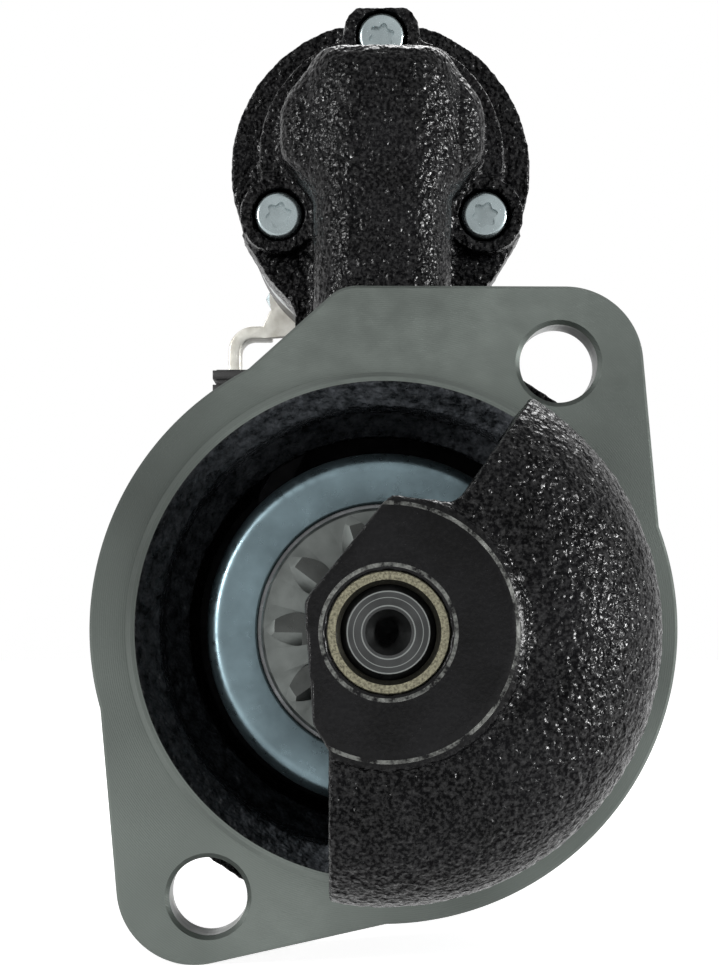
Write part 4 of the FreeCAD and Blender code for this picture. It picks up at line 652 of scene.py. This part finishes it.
def sintered_bronze(name, shade):
    """Pitted bronze; a low shade paints the shadow inside the bush's chamfer and bore."""
    finish = new_finish(name, scaled((0.18, 0.17, 0.12), shade), 0.8, 0.45)
    shader = shader_of(finish)
    at = place(finish)
    pores = spots(finish, 0.0004, 2, 0.7, at=at)
    pits = scaled((0.07, 0.065, 0.045), shade)
    tone = shades(finish, pores, pits, scaled((0.21, 0.20, 0.14), shade), 0.35, 0.6)
    join(finish, tone, shader.inputs["Base Color"])
    join(finish, relief(finish, pores, 0.00008, 0.7), shader.inputs["Normal"])
    return finish


def nose_bush():
    front = NOSE_END + 0.4
    rear = NOSE_END + 13.0
    profile = [(front, 7.7), (front, 8.85), (front + 0.15, 9.0), (rear, 9.0), (rear, 7.05),
               (front + 1.0, 7.05)]
    sleeve = turned("nose_bush_sleeve", profile)
    hand_over(sleeve, [bronze, shaded_bronze], "housing", ["nose_bush"], 25)
    # Faces inside 7.7 mm, the chamfer and bore, get the darker bronze: painted shade in the bush's mouth.
    for face in sleeve.data.polygons:
        face.material_index = int(math.hypot(face.center.x, face.center.z) < 0.0077)


bronze = sintered_bronze("sintered bronze", 1.0)
# Bronze at a tenth of its brightness: painted shade for the bush's chamfer and bore.
shaded_bronze = sintered_bronze("bronze in painted shade", 0.1)
nose_bush()


# Output shaft, planet carrier and its gears: hardened steel, ground on the journals. The shaft's
# end is faced, chamfered and centre drilled. Gears, pins and rings are hobbed or turned, lightly
# oiled, and pressed or clipped in place.

def steel(name, colour, roughness):
    """Machined or ground steel with faint tool lines and an uneven sheen."""
    return vary(new_finish(name, colour, 0.95, roughness), colour, (0.006, 4, 0.72, 1.12),
                (0.002, 3, roughness - 0.07, roughness + 0.1), (0.00025, 3, 0.7, 0.00003, 0.4))


def coat_node(name, *finishes):
    """Gives a plain solid its finish and smooth shading over its round faces."""
    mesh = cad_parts[name].data
    mesh.materials.clear()
    for finish in finishes:
        mesh.materials.append(finish)
    if "custom_normal" in mesh.attributes:
        mesh.attributes.remove(mesh.attributes["custom_normal"])
    mesh.shade_smooth()
    mesh.set_sharp_from_angle(angle=math.radians(32))


for name in ("plate_bush", "pilot_bush", "rear_bush", "solenoid_bobbin"):
    coat_node(name, bronze)
ground_steel = steel("ground steel", (0.16, 0.165, 0.17), 0.28)
hard_steel = steel("hardened steel", (0.07, 0.072, 0.075), 0.36)
black_steel = steel("phosphated steel dark as shade", (0.012, 0.012, 0.013), 0.5)
for name in ("lever_pin", "planet_pins", "sleeve_clip", "clutch_rollers", "roller_springs", "clutch_washer",
             "pole_screws", "armature_shaft", "shaft_clip", "brush_springs", "plunger", "return_spring",
             "contact_spring"):
    coat_node(name, ground_steel)
for name in ("stop_ring", "ring_gear", "meshing_spring", "pole_shoes", "solenoid_core", "planet_gear_1",
             "planet_gear_2", "planet_gear_3"):
    coat_node(name, hard_steel)
# Shift lever, clutch outer and bearing plate: near-black phosphated finish, kept this dark also to paint the
# shade inside the nose where they show.
for name in ("shift_lever", "clutch_outer", "bearing_plate"):
    coat_node(name, black_steel)


def shaft_steel():
    """Hardened steel with light rings painted at the end's chamfer and drill edges: their highlights together
    with bare cut metal.
    """
    finish = steel("faced shaft steel", (0.05, 0.052, 0.052), 0.34)
    reach, depth = reach_and_depth(finish, place(finish))
    on_end = sum_of(finish, "LESS_THAN", depth, (NOSE_END + 3.0) / 1000)
    # Light rings at the end's edges: painted highlights of the chamfer and drill edges, with the bare metal
    # cut there.
    lines = ring_lines(finish, reach, ((0.006, 0.0001), (0.0051, 0.00006), (0.0039, 0.0001)))
    bright = sum_of(finish, "MULTIPLY", lines, on_end)
    base = shader_of(finish).inputs["Base Color"]
    join(finish, mixed(finish, bright, base.links[0].from_socket, (0.17, 0.18, 0.175)), base)
    return finish


coat_node("output_shaft", shaft_steel())


# Pinion: ten module 3 teeth of case-hardened steel on the clutch's inner race. Each tooth has a
# steep meshing bevel on one flank at its front, so that it finds the gaps of the ring gear.

PINION_TEETH = 10
MODULE = 3.0
FIRST_TOOTH = 35.0
PINION_FRONT = -19.0
PINION_TIP_R = 19.26
PINION_ROOT_R = 12.51


def tooth_section(teeth, module, shift, thicker, tip_r, root_r, phase, steps=8):
    """Outline of a gear with involute flanks, one tooth at a time from root to root."""
    pitch_r = module * teeth / 2
    pressure = math.radians(20)
    base_r = pitch_r * math.cos(pressure)
    spread = math.tan(pressure) - pressure
    half = (math.pi / 2 + 2 * shift * math.tan(pressure)) / teeth + thicker / 2 / pitch_r + spread
    low_r = max(base_r * 1.001, root_r)
    flank = [(root_r, half)] if root_r < low_r else []
    for i in range(steps + 1):
        r = low_r + (tip_r - low_r) * i / steps
        at = math.acos(base_r / r)
        flank.append((r, half - (math.tan(at) - at)))
    outline = []
    for tooth in range(teeth):
        centre = math.radians(phase) + math.tau * tooth / teeth
        outline += [(r, centre - a) for r, a in flank]
        tip_a = flank[-1][1]
        outline += [(tip_r, centre + tip_a * k / 4) for k in (-2, 0, 2)]
        outline += [(r, centre + a) for r, a in reversed(flank)]
        gap = math.tau / teeth - 2 * flank[0][1]
        outline += [(root_r, centre + flank[0][1] + gap * k / 4) for k in (1, 2, 3)]
    return [(r * math.cos(a), r * math.sin(a)) for r, a in outline]


def pinion():
    section = tooth_section(PINION_TEETH, MODULE, 0.42, -0.3, PINION_TIP_R, PINION_ROOT_R, FIRST_TOOTH)
    gear = slab("pinion_gear", section, PINION_FRONT, 0.0)
    blank = [(PINION_FRONT, 0), (PINION_FRONT, PINION_TIP_R - 1.6), (PINION_FRONT + 1.6, PINION_TIP_R),
             (0, PINION_TIP_R), (0, 0)]
    machine(gear, [turned("blank", blank, steps=256)], "INTERSECT")
    bevels = []
    for tooth in range(PINION_TEETH):
        t = math.radians(FIRST_TOOTH + 360 / PINION_TEETH * tooth)
        out = np.array((math.cos(t), math.sin(t)))
        side = np.array((-out[1], out[0]))
        wedge = [(0.55, PINION_FRONT - 1), (6.0, PINION_FRONT - 1), (6.0, PINION_FRONT + 5.6),
                 (0.55, PINION_FRONT)]
        points = []
        for reach in (13.2, 22.0):
            for across, y in wedge:
                spot = out * reach + side * across
                points.append((spot[0], y, spot[1]))
        faces = [[0, 1, 2, 3], [7, 6, 5, 4], [0, 4, 5, 1], [1, 5, 6, 2], [2, 6, 7, 3], [3, 7, 4, 0]]
        bevels.append(shape("bevel", points, faces))
    machine(gear, bevels, "DIFFERENCE")
    race = [(-0.01, 0), (-0.01, 19.9), (0.5, 20.4), (2.0, 20.4), (2.0, 14.0), (20.5, 14.0), (20.5, 0)]
    machine(gear, [turned("race", race, steps=192)], "UNION")
    mouth = [(PINION_FRONT - 1, 0), (PINION_FRONT - 1, 8.05), (PINION_FRONT, 8.05),
             (PINION_FRONT + 1.0, 7.05), (22, 7.05), (22, 0)]
    machine(gear, [turned("mouth", mouth)], "DIFFERENCE")
    edge = gear.modifiers.new("tumbled edges", "BEVEL")
    edge.width = 0.18
    edge.segments = 2
    edge.limit_method = "ANGLE"
    edge.angle_limit = math.radians(40)
    settle(gear)
    hand_over(gear, [tooth_steel, race_steel], "pinion", ["pinion"], 35)
    for face in gear.data.polygons:
        on_race = face.center.y > -0.0002
        on_bevel = -0.95 < face.normal.y < -0.3 and face.center.y < -0.001
        face.material_index = int(on_race or on_bevel)


tooth_steel = steel("case-hardened tooth steel", (0.05, 0.053, 0.051), 0.3)
race_steel = steel("turned race steel", (0.115, 0.125, 0.12), 0.34)
pinion()


# Clutch cap: a cup drawn from thin sheet and rolled over the clutch to hold it shut, zinc plated
# and chromated, so it is a cool blue grey with a soft sheen.

def zinc_plate(name, colour, roughness):
    """Zinc plate: a cool crystalline sheen with faint cloudy patches."""
    return vary(new_finish(name, colour, 0.9, roughness), colour, (0.008, 4, 0.8, 1.12),
                (0.0015, 3, roughness - 0.08, roughness + 0.12), (0.0007, 3, 0.6, 0.00003, 0.4))


def clutch_cap():
    profile = [(1.5, 21.0)] + arc((1.5, 21.0), (1.15, 21.15), (1.0, 21.5), 6) + [(1.0, 26.6)]
    profile += arc((1.0, 26.6), (1.879, 28.721), (4.0, 29.6), 12)
    profile += [(24.8, 29.6)] + arc((24.8, 29.6), (25.79, 29.19), (26.2, 28.2), 8)
    profile += [(26.2, 25.5), (25.0, 25.4), (25.0, 28.4), (4.0, 28.4)]
    profile += arc((4.0, 28.4), (2.727, 27.873), (2.2, 26.6), 8)
    profile += [(2.2, 21.2)]
    cap = turned("clutch_cap_cup", profile, steps=256)
    hand_over(cap, blue_zinc, "drive", ["clutch_cap"], 25)


blue_zinc = zinc_plate("blue zinc plate", (0.13, 0.18, 0.20), 0.32)
swept(blue_zinc, 0.6)
clutch_cap()
for name in ("gear_shield", "brush_plate"):
    coat_node(name, blue_zinc)


# Solenoid screws: three zinc-plated pan heads with six-lobed sockets, set down in the round
# pockets of the seat's ears.

def solenoid_screws():
    screws = []
    for number, (x, z) in enumerate(SCREW_HEADS):
        head = [(27.4, 0), (27.4, 3.2)] + arc((27.4, 3.2), (27.55, 3.75), (28.1, 4.1), 8)
        head += [(28.3, 4.15), (30.0, 4.15), (30.0, 2.4), (53.4, 2.4), (53.4, 0)]
        screw = turned("solenoid_screws_set", head, x, z, 72)
        outline = []
        for k in range(72):
            t = math.tau * k / 72
            reach = 2.05 + 0.3 * math.cos(6 * t)
            spin = t + 0.3 + number
            outline.append((x + reach * math.cos(spin), z + reach * math.sin(spin)))
        screws.append(machine(screw, [slab("socket", outline, 26.5, 28.9)], "DIFFERENCE"))
    hand_over(together(screws), bright_zinc, "housing", ["solenoid_screws"], 35)


bright_zinc = zinc_plate("bright zinc plate", (0.30, 0.35, 0.36), 0.24)
solenoid_screws()


# Solenoid: a deep-drawn steel cup, zinc plated, with its rim rolled over the moulded switch cap.

def solenoid_case():
    profile = [(48.0, 11.2), (48.0, 25.9), (48.4, 26.3), (97.5, 26.3), (98.2, 25.7), (99.4, 25.7),
               (100.1, 26.3)]
    profile += [(103.2, 26.3)] + arc((103.2, 26.3), (103.77, 26.07), (104.0, 25.5), 6)
    profile += [(104.0, 23.5), (55.0, 23.5), (55.0, 11.2)]
    case = turned("solenoid_cup", profile, z=SEAT_Z, steps=192)
    machine(case, [rod(2.45, 47, 54, x, z, 32) for x, z in SCREW_HEADS], "DIFFERENCE")
    hand_over(case, case_zinc, "housing", ["solenoid_case"], 25)


case_zinc = zinc_plate("drawn zinc plate", (0.42, 0.44, 0.44), 0.32)
solenoid_case()


# Switch cap: black phenolic moulding that closes the solenoid and carries its terminals.

def black_moulding(name, colour, roughness):
    return vary(new_finish(name, colour, 0.0, roughness), colour, (0.004, 3, 0.8, 1.3),
                (0.001, 2, roughness - 0.08, roughness + 0.1), (0.0004, 2, 0.5, 0.00004, 0.5))


STUD_PLACES = {"motor_stud": (-13.546, 69.473), "battery_stud": (13.546, 97.527)}
CONTROL_PLACE = (11.509, 72.385)


def switch_cap():
    profile = [(104.0, 23.8), (104.0, 26.0), (124.6, 26.0)]
    profile += arc((124.6, 26.0), (125.59, 25.59), (126.0, 24.6), 8)
    profile += [(126.0, 0), (122.5, 0), (122.5, 23.8)]
    cap = turned("switch_cap_moulding", profile, z=SEAT_Z, steps=192)
    holes = [rod(5.0, 120, 128, x, z, 48) for x, z in STUD_PLACES.values()]
    holes.append(rod(2.4, 120, 128, *CONTROL_PLACE, 32))
    machine(cap, holes, "DIFFERENCE")
    hand_over(cap, phenolic, "housing", ["switch_cap"], 25)


phenolic = black_moulding("black phenolic", (0.018, 0.018, 0.018), 0.45)
switch_cap()
coat_node("guide_ring", phenolic)


# Terminals: two M10 copper studs with rolled threads, a small plated control stud, and the zinc
# plated nuts that hold the battery cable, the motor lead and the control wire.

def copper(name, colour, roughness):
    return vary(new_finish(name, colour, 0.95, roughness), colour, (0.003, 4, 0.7, 1.0), None,
                (0.0005, 3, 0.5, 0.00003, 0.4))


def threaded_bar(name, radius, pitch, start, end, x, z, steps=48):
    """Bar along Y with a cut thread that runs round it, chamfered at its rear end."""
    per_turn = 8
    depth = 0.54 * pitch
    rows = int((end - start) / pitch * per_turn)
    rings = []
    for j in range(rows + 1):
        y = start + (end - start) * j / rows
        ring = []
        for k in range(steps):
            t = math.tau * k / steps
            phase = (y / pitch + k / steps) % 1.0
            ridge = abs(phase * 2 - 1)
            r = radius - depth * ridge
            r = min(r, radius - depth * 1.3 + (end - y) * 1.1)
            ring.append((x + r * math.cos(t), z + r * math.sin(t)))
        rings.append((ring, y))
    return ringed(name, rings)


def hexagon(x, z, flats):
    """Outline of a hexagon by its width across flats."""
    corner = flats / math.sqrt(3)
    turns = [math.radians(60 * k) for k in range(6)]
    return [(x + corner * math.cos(t), z + corner * math.sin(t)) for t in turns]


def terminals():
    for node, (x, z) in STUD_PLACES.items():
        stud = threaded_bar(node + "_bolt", 5.0, 1.5, 122.0, 146.0, x, z)
        plain = turned("head", [(116.0, 0), (116.0, 6.6), (122.5, 6.6), (122.5, 0)], x, z, 64)
        inside = rod(23.2, 115, 122.5, z=SEAT_Z)
        machine(plain, [inside], "INTERSECT")
        machine(stud, [plain], "UNION")
        hand_over(stud, stud_copper, "housing", [node], 30)
    x, z = CONTROL_PLACE
    post = threaded_bar("control_post", 2.4, 0.8, 122.0, 139.0, x, z, 32)
    machine(post, [rod(4.0, 120.5, 122.5, x, z, 48)], "UNION")
    hand_over(post, bright_zinc, "housing", ["control_terminal"], 30)


def terminal_nuts():
    places = [(*STUD_PLACES["battery_stud"], 126.0, 17.0, 7.0, 5.0),
              (*STUD_PLACES["motor_stud"], 128.4, 17.0, 7.0, 5.0), (*CONTROL_PLACE, 126.0, 8.0, 4.0, 2.4)]
    nuts = []
    for x, z, front, flats, thick, bore in places:
        nut = slab("terminal_nut_set", hexagon(x, z, flats), front, front + thick)
        corner = flats / math.sqrt(3)
        fall = (corner - flats / 2) * 0.58 + 0.2
        crown = [(front, 0), (front, flats / 2 - 0.3), (front + fall, corner), (front + thick - fall, corner),
                 (front + thick, flats / 2 - 0.3), (front + thick, 0)]
        machine(nut, [turned("crown", crown, x, z, 96)], "INTERSECT")
        nuts.append(machine(nut, [rod(bore * 0.99, front - 1, front + thick + 1, x, z, 64)], "DIFFERENCE"))
    hand_over(together(nuts), bright_zinc, "housing", ["terminal_nuts"], 30)


stud_copper = copper("bare copper", (0.72, 0.40, 0.26), 0.32)
wire_enamel = copper("enamelled copper", (0.50, 0.20, 0.09), 0.4)
terminals()
terminal_nuts()
for name in ("field_coils", "armature_winding", "solenoid_winding"):
    coat_node(name, wire_enamel)
for name in ("commutator", "moving_contact"):
    coat_node(name, stud_copper)


# Motor lead: a strap of tinned copper that leaves the motor stud, bends over and goes down into
# the field frame. A ribbed rubber grommet closes the frame's slot round it.

def strip_section(name, outline, front, rear, edge):
    piece = slab(name, outline, front, rear)
    soft = piece.modifiers.new("soft edges", "BEVEL")
    soft.width = edge
    soft.segments = 3
    soft.limit_method = "ANGLE"
    soft.angle_limit = math.radians(40)
    settle(piece)
    return piece


def tinned_braid():
    """Tinned copper strap: pale, with the fine lengthwise lines of its rolled strands."""
    finish = new_finish("tinned copper", (0.66, 0.65, 0.60), 0.55, 0.42)
    shader = shader_of(finish)
    at = place(finish)
    join(finish, shades(finish, spots(finish, 0.004, 4, at=at), (0.52, 0.50, 0.44), (0.78, 0.77, 0.71)),
         shader.inputs["Base Color"])
    strands = add(finish, "TexWave", {"Scale": math.tau / 20 / 0.0009, "Distortion": 1.0, "Detail": 2.0},
                  wave_type="BANDS", bands_direction="Y")
    join(finish, at, strands.inputs["Vector"])
    lines = relief(finish, strands.outputs["Fac"], 0.00012, 0.6)
    dents = relief(finish, spots(finish, 0.0006, 2, at=at), 0.00005, 0.4, lines)
    join(finish, dents, shader.inputs["Normal"])
    return finish


def motor_lead():
    x, z = STUD_PLACES["motor_stud"]
    left, right, top, under = -31.2, -28.6, 63.4, 60.8
    outline = [(-22.0, top), (-25.8, top)]
    outline += arc((-25.8, top), (-29.618, 61.818), (left, 58.0), 12)
    outline += [(left, 25.8), (right, 25.8), (right, 58.0)]
    outline += arc((right, 58.0), (-27.78, 59.98), (-25.8, under), 8)
    outline += [(-22.0, under)]
    strap = strip_section("motor_lead_strap", outline, 126.0, 136.0, 0.4)
    link = strip_section("link", [(x, z + 4), (x - 9, z - 3), (-24.0, top), (-24.0, under), (x, z - 8)],
                         126.0, 128.4, 0.25)
    lug = rod(9.0, 126.0, 128.4, x, z)
    machine(strap, [link, lug], "UNION")
    machine(strap, [rod(5.0, 125, 137, x, z, 48)], "DIFFERENCE")
    hand_over(strap, tinned, "housing", ["motor_lead"], 40)


tinned = tinned_braid()
rubber = black_moulding("black rubber", (0.015, 0.015, 0.015), 0.6)
motor_lead()
coat_node("lead_grommet", rubber)
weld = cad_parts["lead_grommet"].modifiers.new("joined corners", "WELD")
weld.merge_threshold = 0.00001
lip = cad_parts["lead_grommet"].modifiers.new("moulded edges", "BEVEL")
lip.width = 0.00035
lip.segments = 2
lip.limit_method = "ANGLE"
lip.angle_limit = math.radians(40)


# Field frame: a rolled steel tube, seam welded and painted gloss black. Four countersunk screws
# hold the pole shoes inside it.

FRAME_R = 47.5
POLE_SCREW_Y = 127.0


def paint(name, colour, roughness):
    """Gloss paint sprayed on smooth steel, with a faint orange peel."""
    finish = new_finish(name, colour, 0.0, roughness)
    shader_of(finish).inputs["Specular IOR Level"].default_value = 0.25
    return vary(finish, colour, (0.02, 3, 0.8, 1.25), (0.005, 3, roughness - 0.05, roughness + 0.12),
                (0.0018, 2, 0.5, 0.00012, 0.5))


def field_frame():
    profile = [(52.0, 42.5), (52.0, 47.2), (52.3, FRAME_R), (169.7, FRAME_R), (170.0, 47.2), (170.0, 41.5),
               (91.0, 41.5), (91.0, 42.5)]
    tube = turned("field_frame_tube", profile, steps=256)
    machine(tube, [block(-33.6, -26.2, 123.6, 138.4, 20, 60)], "DIFFERENCE")
    sockets = []
    for k in range(4):
        cone = turned("socket", [(0, 0), (0, 4.3), (FRAME_R - 3.4, 4.3), (48.0, 8.2), (48.0, 0)], steps=64)
        tilt = math.pi / 2 * k
        for point in cone.data.vertices:
            x, y, z = point.co
            across = y * math.cos(tilt) - x * math.sin(tilt)
            up = y * math.sin(tilt) + x * math.cos(tilt)
            point.co = (across, POLE_SCREW_Y + z, up)
        sockets.append(cone)
    machine(tube, sockets, "DIFFERENCE")
    hand_over(tube, frame_paint, "housing", ["field_frame"], 30)


frame_paint = paint("black frame paint", (0.014, 0.014, 0.015), 0.3)
field_frame()


# Laminations of the armature: thin electrical steel, stacked and left bare.

def stacked_sheet():
    finish = steel("electrical steel", (0.16, 0.155, 0.15), 0.5)
    sheets = add(finish, "TexWave", {"Scale": math.tau / 20 / 0.0007}, wave_type="BANDS", bands_direction="Y")
    join(finish, place(finish), sheets.inputs["Vector"])
    join(finish, relief(finish, sheets.outputs["Fac"], 0.00008, 0.8), shader_of(finish).inputs["Normal"])
    return finish


coat_node("lamination_stack", stacked_sheet())

graphite = black_moulding("copper graphite", (0.06, 0.045, 0.04), 0.55)
for number in range(1, 5):
    coat_node(f"brush_{number}", graphite)


# Rear shield: a die-cast cup painted like the frame, which carries the rear bush and the brushes.
# Two long bolts run from it to the drive-end casting, and a pressed cap closes its hub.

BOLT_HEADS = [(38.2 * math.cos(math.radians(a)), 38.2 * math.sin(math.radians(a))) for a in (145, 325)]
CAP_SCREWS = (10.5, -10.5)


def rear_shield():
    profile = [(170.0, 44.0), (170.0, 47.1), (170.4, FRAME_R), (194.5, FRAME_R)]
    profile += arc((194.5, FRAME_R), (196.97, 46.47), (198.0, 44.0), 12)
    profile += [(198.0, 17.2)] + arc((198.0, 17.2), (198.45, 15.2), (200.2, 13.4), 6)
    profile += [(203.6, 13.0), (204.0, 12.6), (204.0, 8.05), (189.5, 8.05), (189.5, 13.0), (194.5, 13.0),
                (194.5, 44.0)]
    cup = turned("rear_shield_cup", profile, steps=256)
    machine(cup, [rod(7.0, 191.0, 198.0, x, z) for x, z in BOLT_HEADS], "UNION")
    holes = [rod(3.2, 188, 199, x, z, 48) for x, z in BOLT_HEADS]
    holes += [rod(1.6, 198, 206, x, 0, 32) for x in CAP_SCREWS]
    machine(cup, holes, "DIFFERENCE")
    hand_over(cup, frame_paint, "housing", ["rear_shield"], 30)


def through_bolts():
    bolts = []
    for x, z in BOLT_HEADS:
        bolt = slab("through_bolts_pair", hexagon(x, z, 10.0), 198.0, 202.0)
        crown = [(198.0, 0), (198.0, 5.9), (201.2, 5.9), (202.0, 4.7), (202.0, 0)]
        machine(bolt, [turned("crown", crown, x, z, 96)], "INTERSECT")
        bolts.append(machine(bolt, [rod(5.7, 198.0, 198.8, x, z), rod(2.9, 40.0, 198.5, x, z, 48)], "UNION"))
    hand_over(together(bolts), bright_zinc, "housing", ["through_bolts"], 30)


def shaft_cap():
    profile = [(204.0, 8.8), (204.0, 15.0), (208.6, 15.0)]
    profile += arc((208.6, 15.0), (210.3, 14.3), (211.0, 12.6), 10)
    profile += [(211.0, 0), (209.8, 0), (209.8, 8.8)]
    cap = turned("shaft_cap_cup", profile, steps=128)
    machine(cap, [rod(1.8, 203, 212, x, 0, 32) for x in CAP_SCREWS], "DIFFERENCE")
    hand_over(cap, blue_zinc, "housing", ["shaft_cap"], 30)
    screws = []
    for x in CAP_SCREWS:
        head = [(199.0, 0), (199.0, 1.6), (211.0, 1.6), (211.0, 3.0), (211.7, 3.0)]
        head += arc((211.7, 3.0), (212.6, 2.3), (213.0, 1.2), 6) + [(213.0, 0)]
        screw = turned("cap_screws_pair", head, x, 0, 48)
        cross = [block(x - 1.7, x + 1.7, 211.9, 214, -0.35, 0.35),
                 block(x - 0.35, x + 0.35, 211.9, 214, -1.7, 1.7)]
        screws.append(machine(screw, cross, "DIFFERENCE"))
    hand_over(together(screws), bright_zinc, "housing", ["cap_screws"], 30)


rear_shield()
through_bolts()
shaft_cap()


# Floor, backdrop, lamps and camera of the picture.

def direct_sight(finish):
    """1 for what the camera sees by itself, in a reflection or through glass."""
    sight = add(finish, "LightPath")
    rays = [sight.outputs[f"Is {kind} Ray"] for kind in ("Glossy", "Transmission", "Camera")]
    return sum_of(finish, "MAXIMUM", sum_of(finish, "MAXIMUM", rays[0], rays[1]), rays[2])


def floor():
    low = solids_box[0][2]
    mesh = bpy.data.meshes.new("floor")
    mesh.from_pydata([(-3, -3, low), (3, -3, low), (3, 3, low), (-3, 3, low)], [], [(0, 1, 2, 3)])
    ground = bpy.data.objects.new("floor", mesh)
    bpy.context.scene.collection.objects.link(ground)
    finish = new_finish("pale floor", (0.8, 0.8, 0.8), 0.0, 0.9)
    shader = shader_of(finish)
    shader.inputs["Emission Color"].default_value = (1, 1, 1, 1)
    glow = sum_of(finish, "MULTIPLY", direct_sight(finish), 0.8)
    join(finish, glow, shader.inputs["Emission Strength"])
    mesh.materials.append(finish)


def sky():
    world = bpy.data.worlds.new("studio")
    bpy.context.scene.world = world
    world.use_nodes = True
    world.node_tree.nodes.clear()
    plain = add(world, "Background", {"Color": (1, 1, 1, 1), "Strength": 0.2})
    white = add(world, "Background", {"Color": (1, 1, 1, 1), "Strength": 1.0})
    mix = add(world, "MixShader")
    join(world, direct_sight(world), mix.inputs[0])
    join(world, plain.outputs[0], mix.inputs[1])
    join(world, white.outputs[0], mix.inputs[2])
    join(world, mix.outputs[0], add(world, "OutputWorld").inputs[0])


def lamp(name, spot, target, size, watts):
    light = bpy.data.lights.new(name, "AREA")
    light.shape = "RECTANGLE"
    light.size = size[0]
    light.size_y = size[1]
    light.energy = watts
    holder = bpy.data.objects.new(name, light)
    bpy.context.scene.collection.objects.link(holder)
    holder.location = spot
    aim = np.array(target) - np.array(spot)
    holder.rotation_euler = Vector(aim).to_track_quat("-Z", "Y").to_euler()


def camera():
    view = bpy.data.cameras.new("camera")
    view.lens = 105.1
    view.sensor_fit = "VERTICAL"
    view.sensor_height = 36
    view.sensor_width = 36
    view.shift_x = 0.0106
    view.shift_y = 0.1341
    view.clip_start = 0.01
    holder = bpy.data.objects.new("camera", view)
    bpy.context.scene.collection.objects.link(holder)
    holder.location = (-0.0057, -0.470, 0.0028)
    holder.rotation_euler = (math.pi / 2, 0, 0)
    bpy.context.scene.camera = holder


floor()
sky()
lamp("left", (-1.0, -0.7, 0.25), (0, 0, 0.03), (0.09, 0.52), 12)
lamp("right", (1.1, -0.5, 0.03), (0, 0, 0.0), (0.14, 0.5), 28)
lamp("rim", (0.2, 0.9, 0.9), (0, 0.1, 0.02), (0.8, 0.5), 8)
camera()
bpy.context.scene.view_settings.view_transform = "Standard"
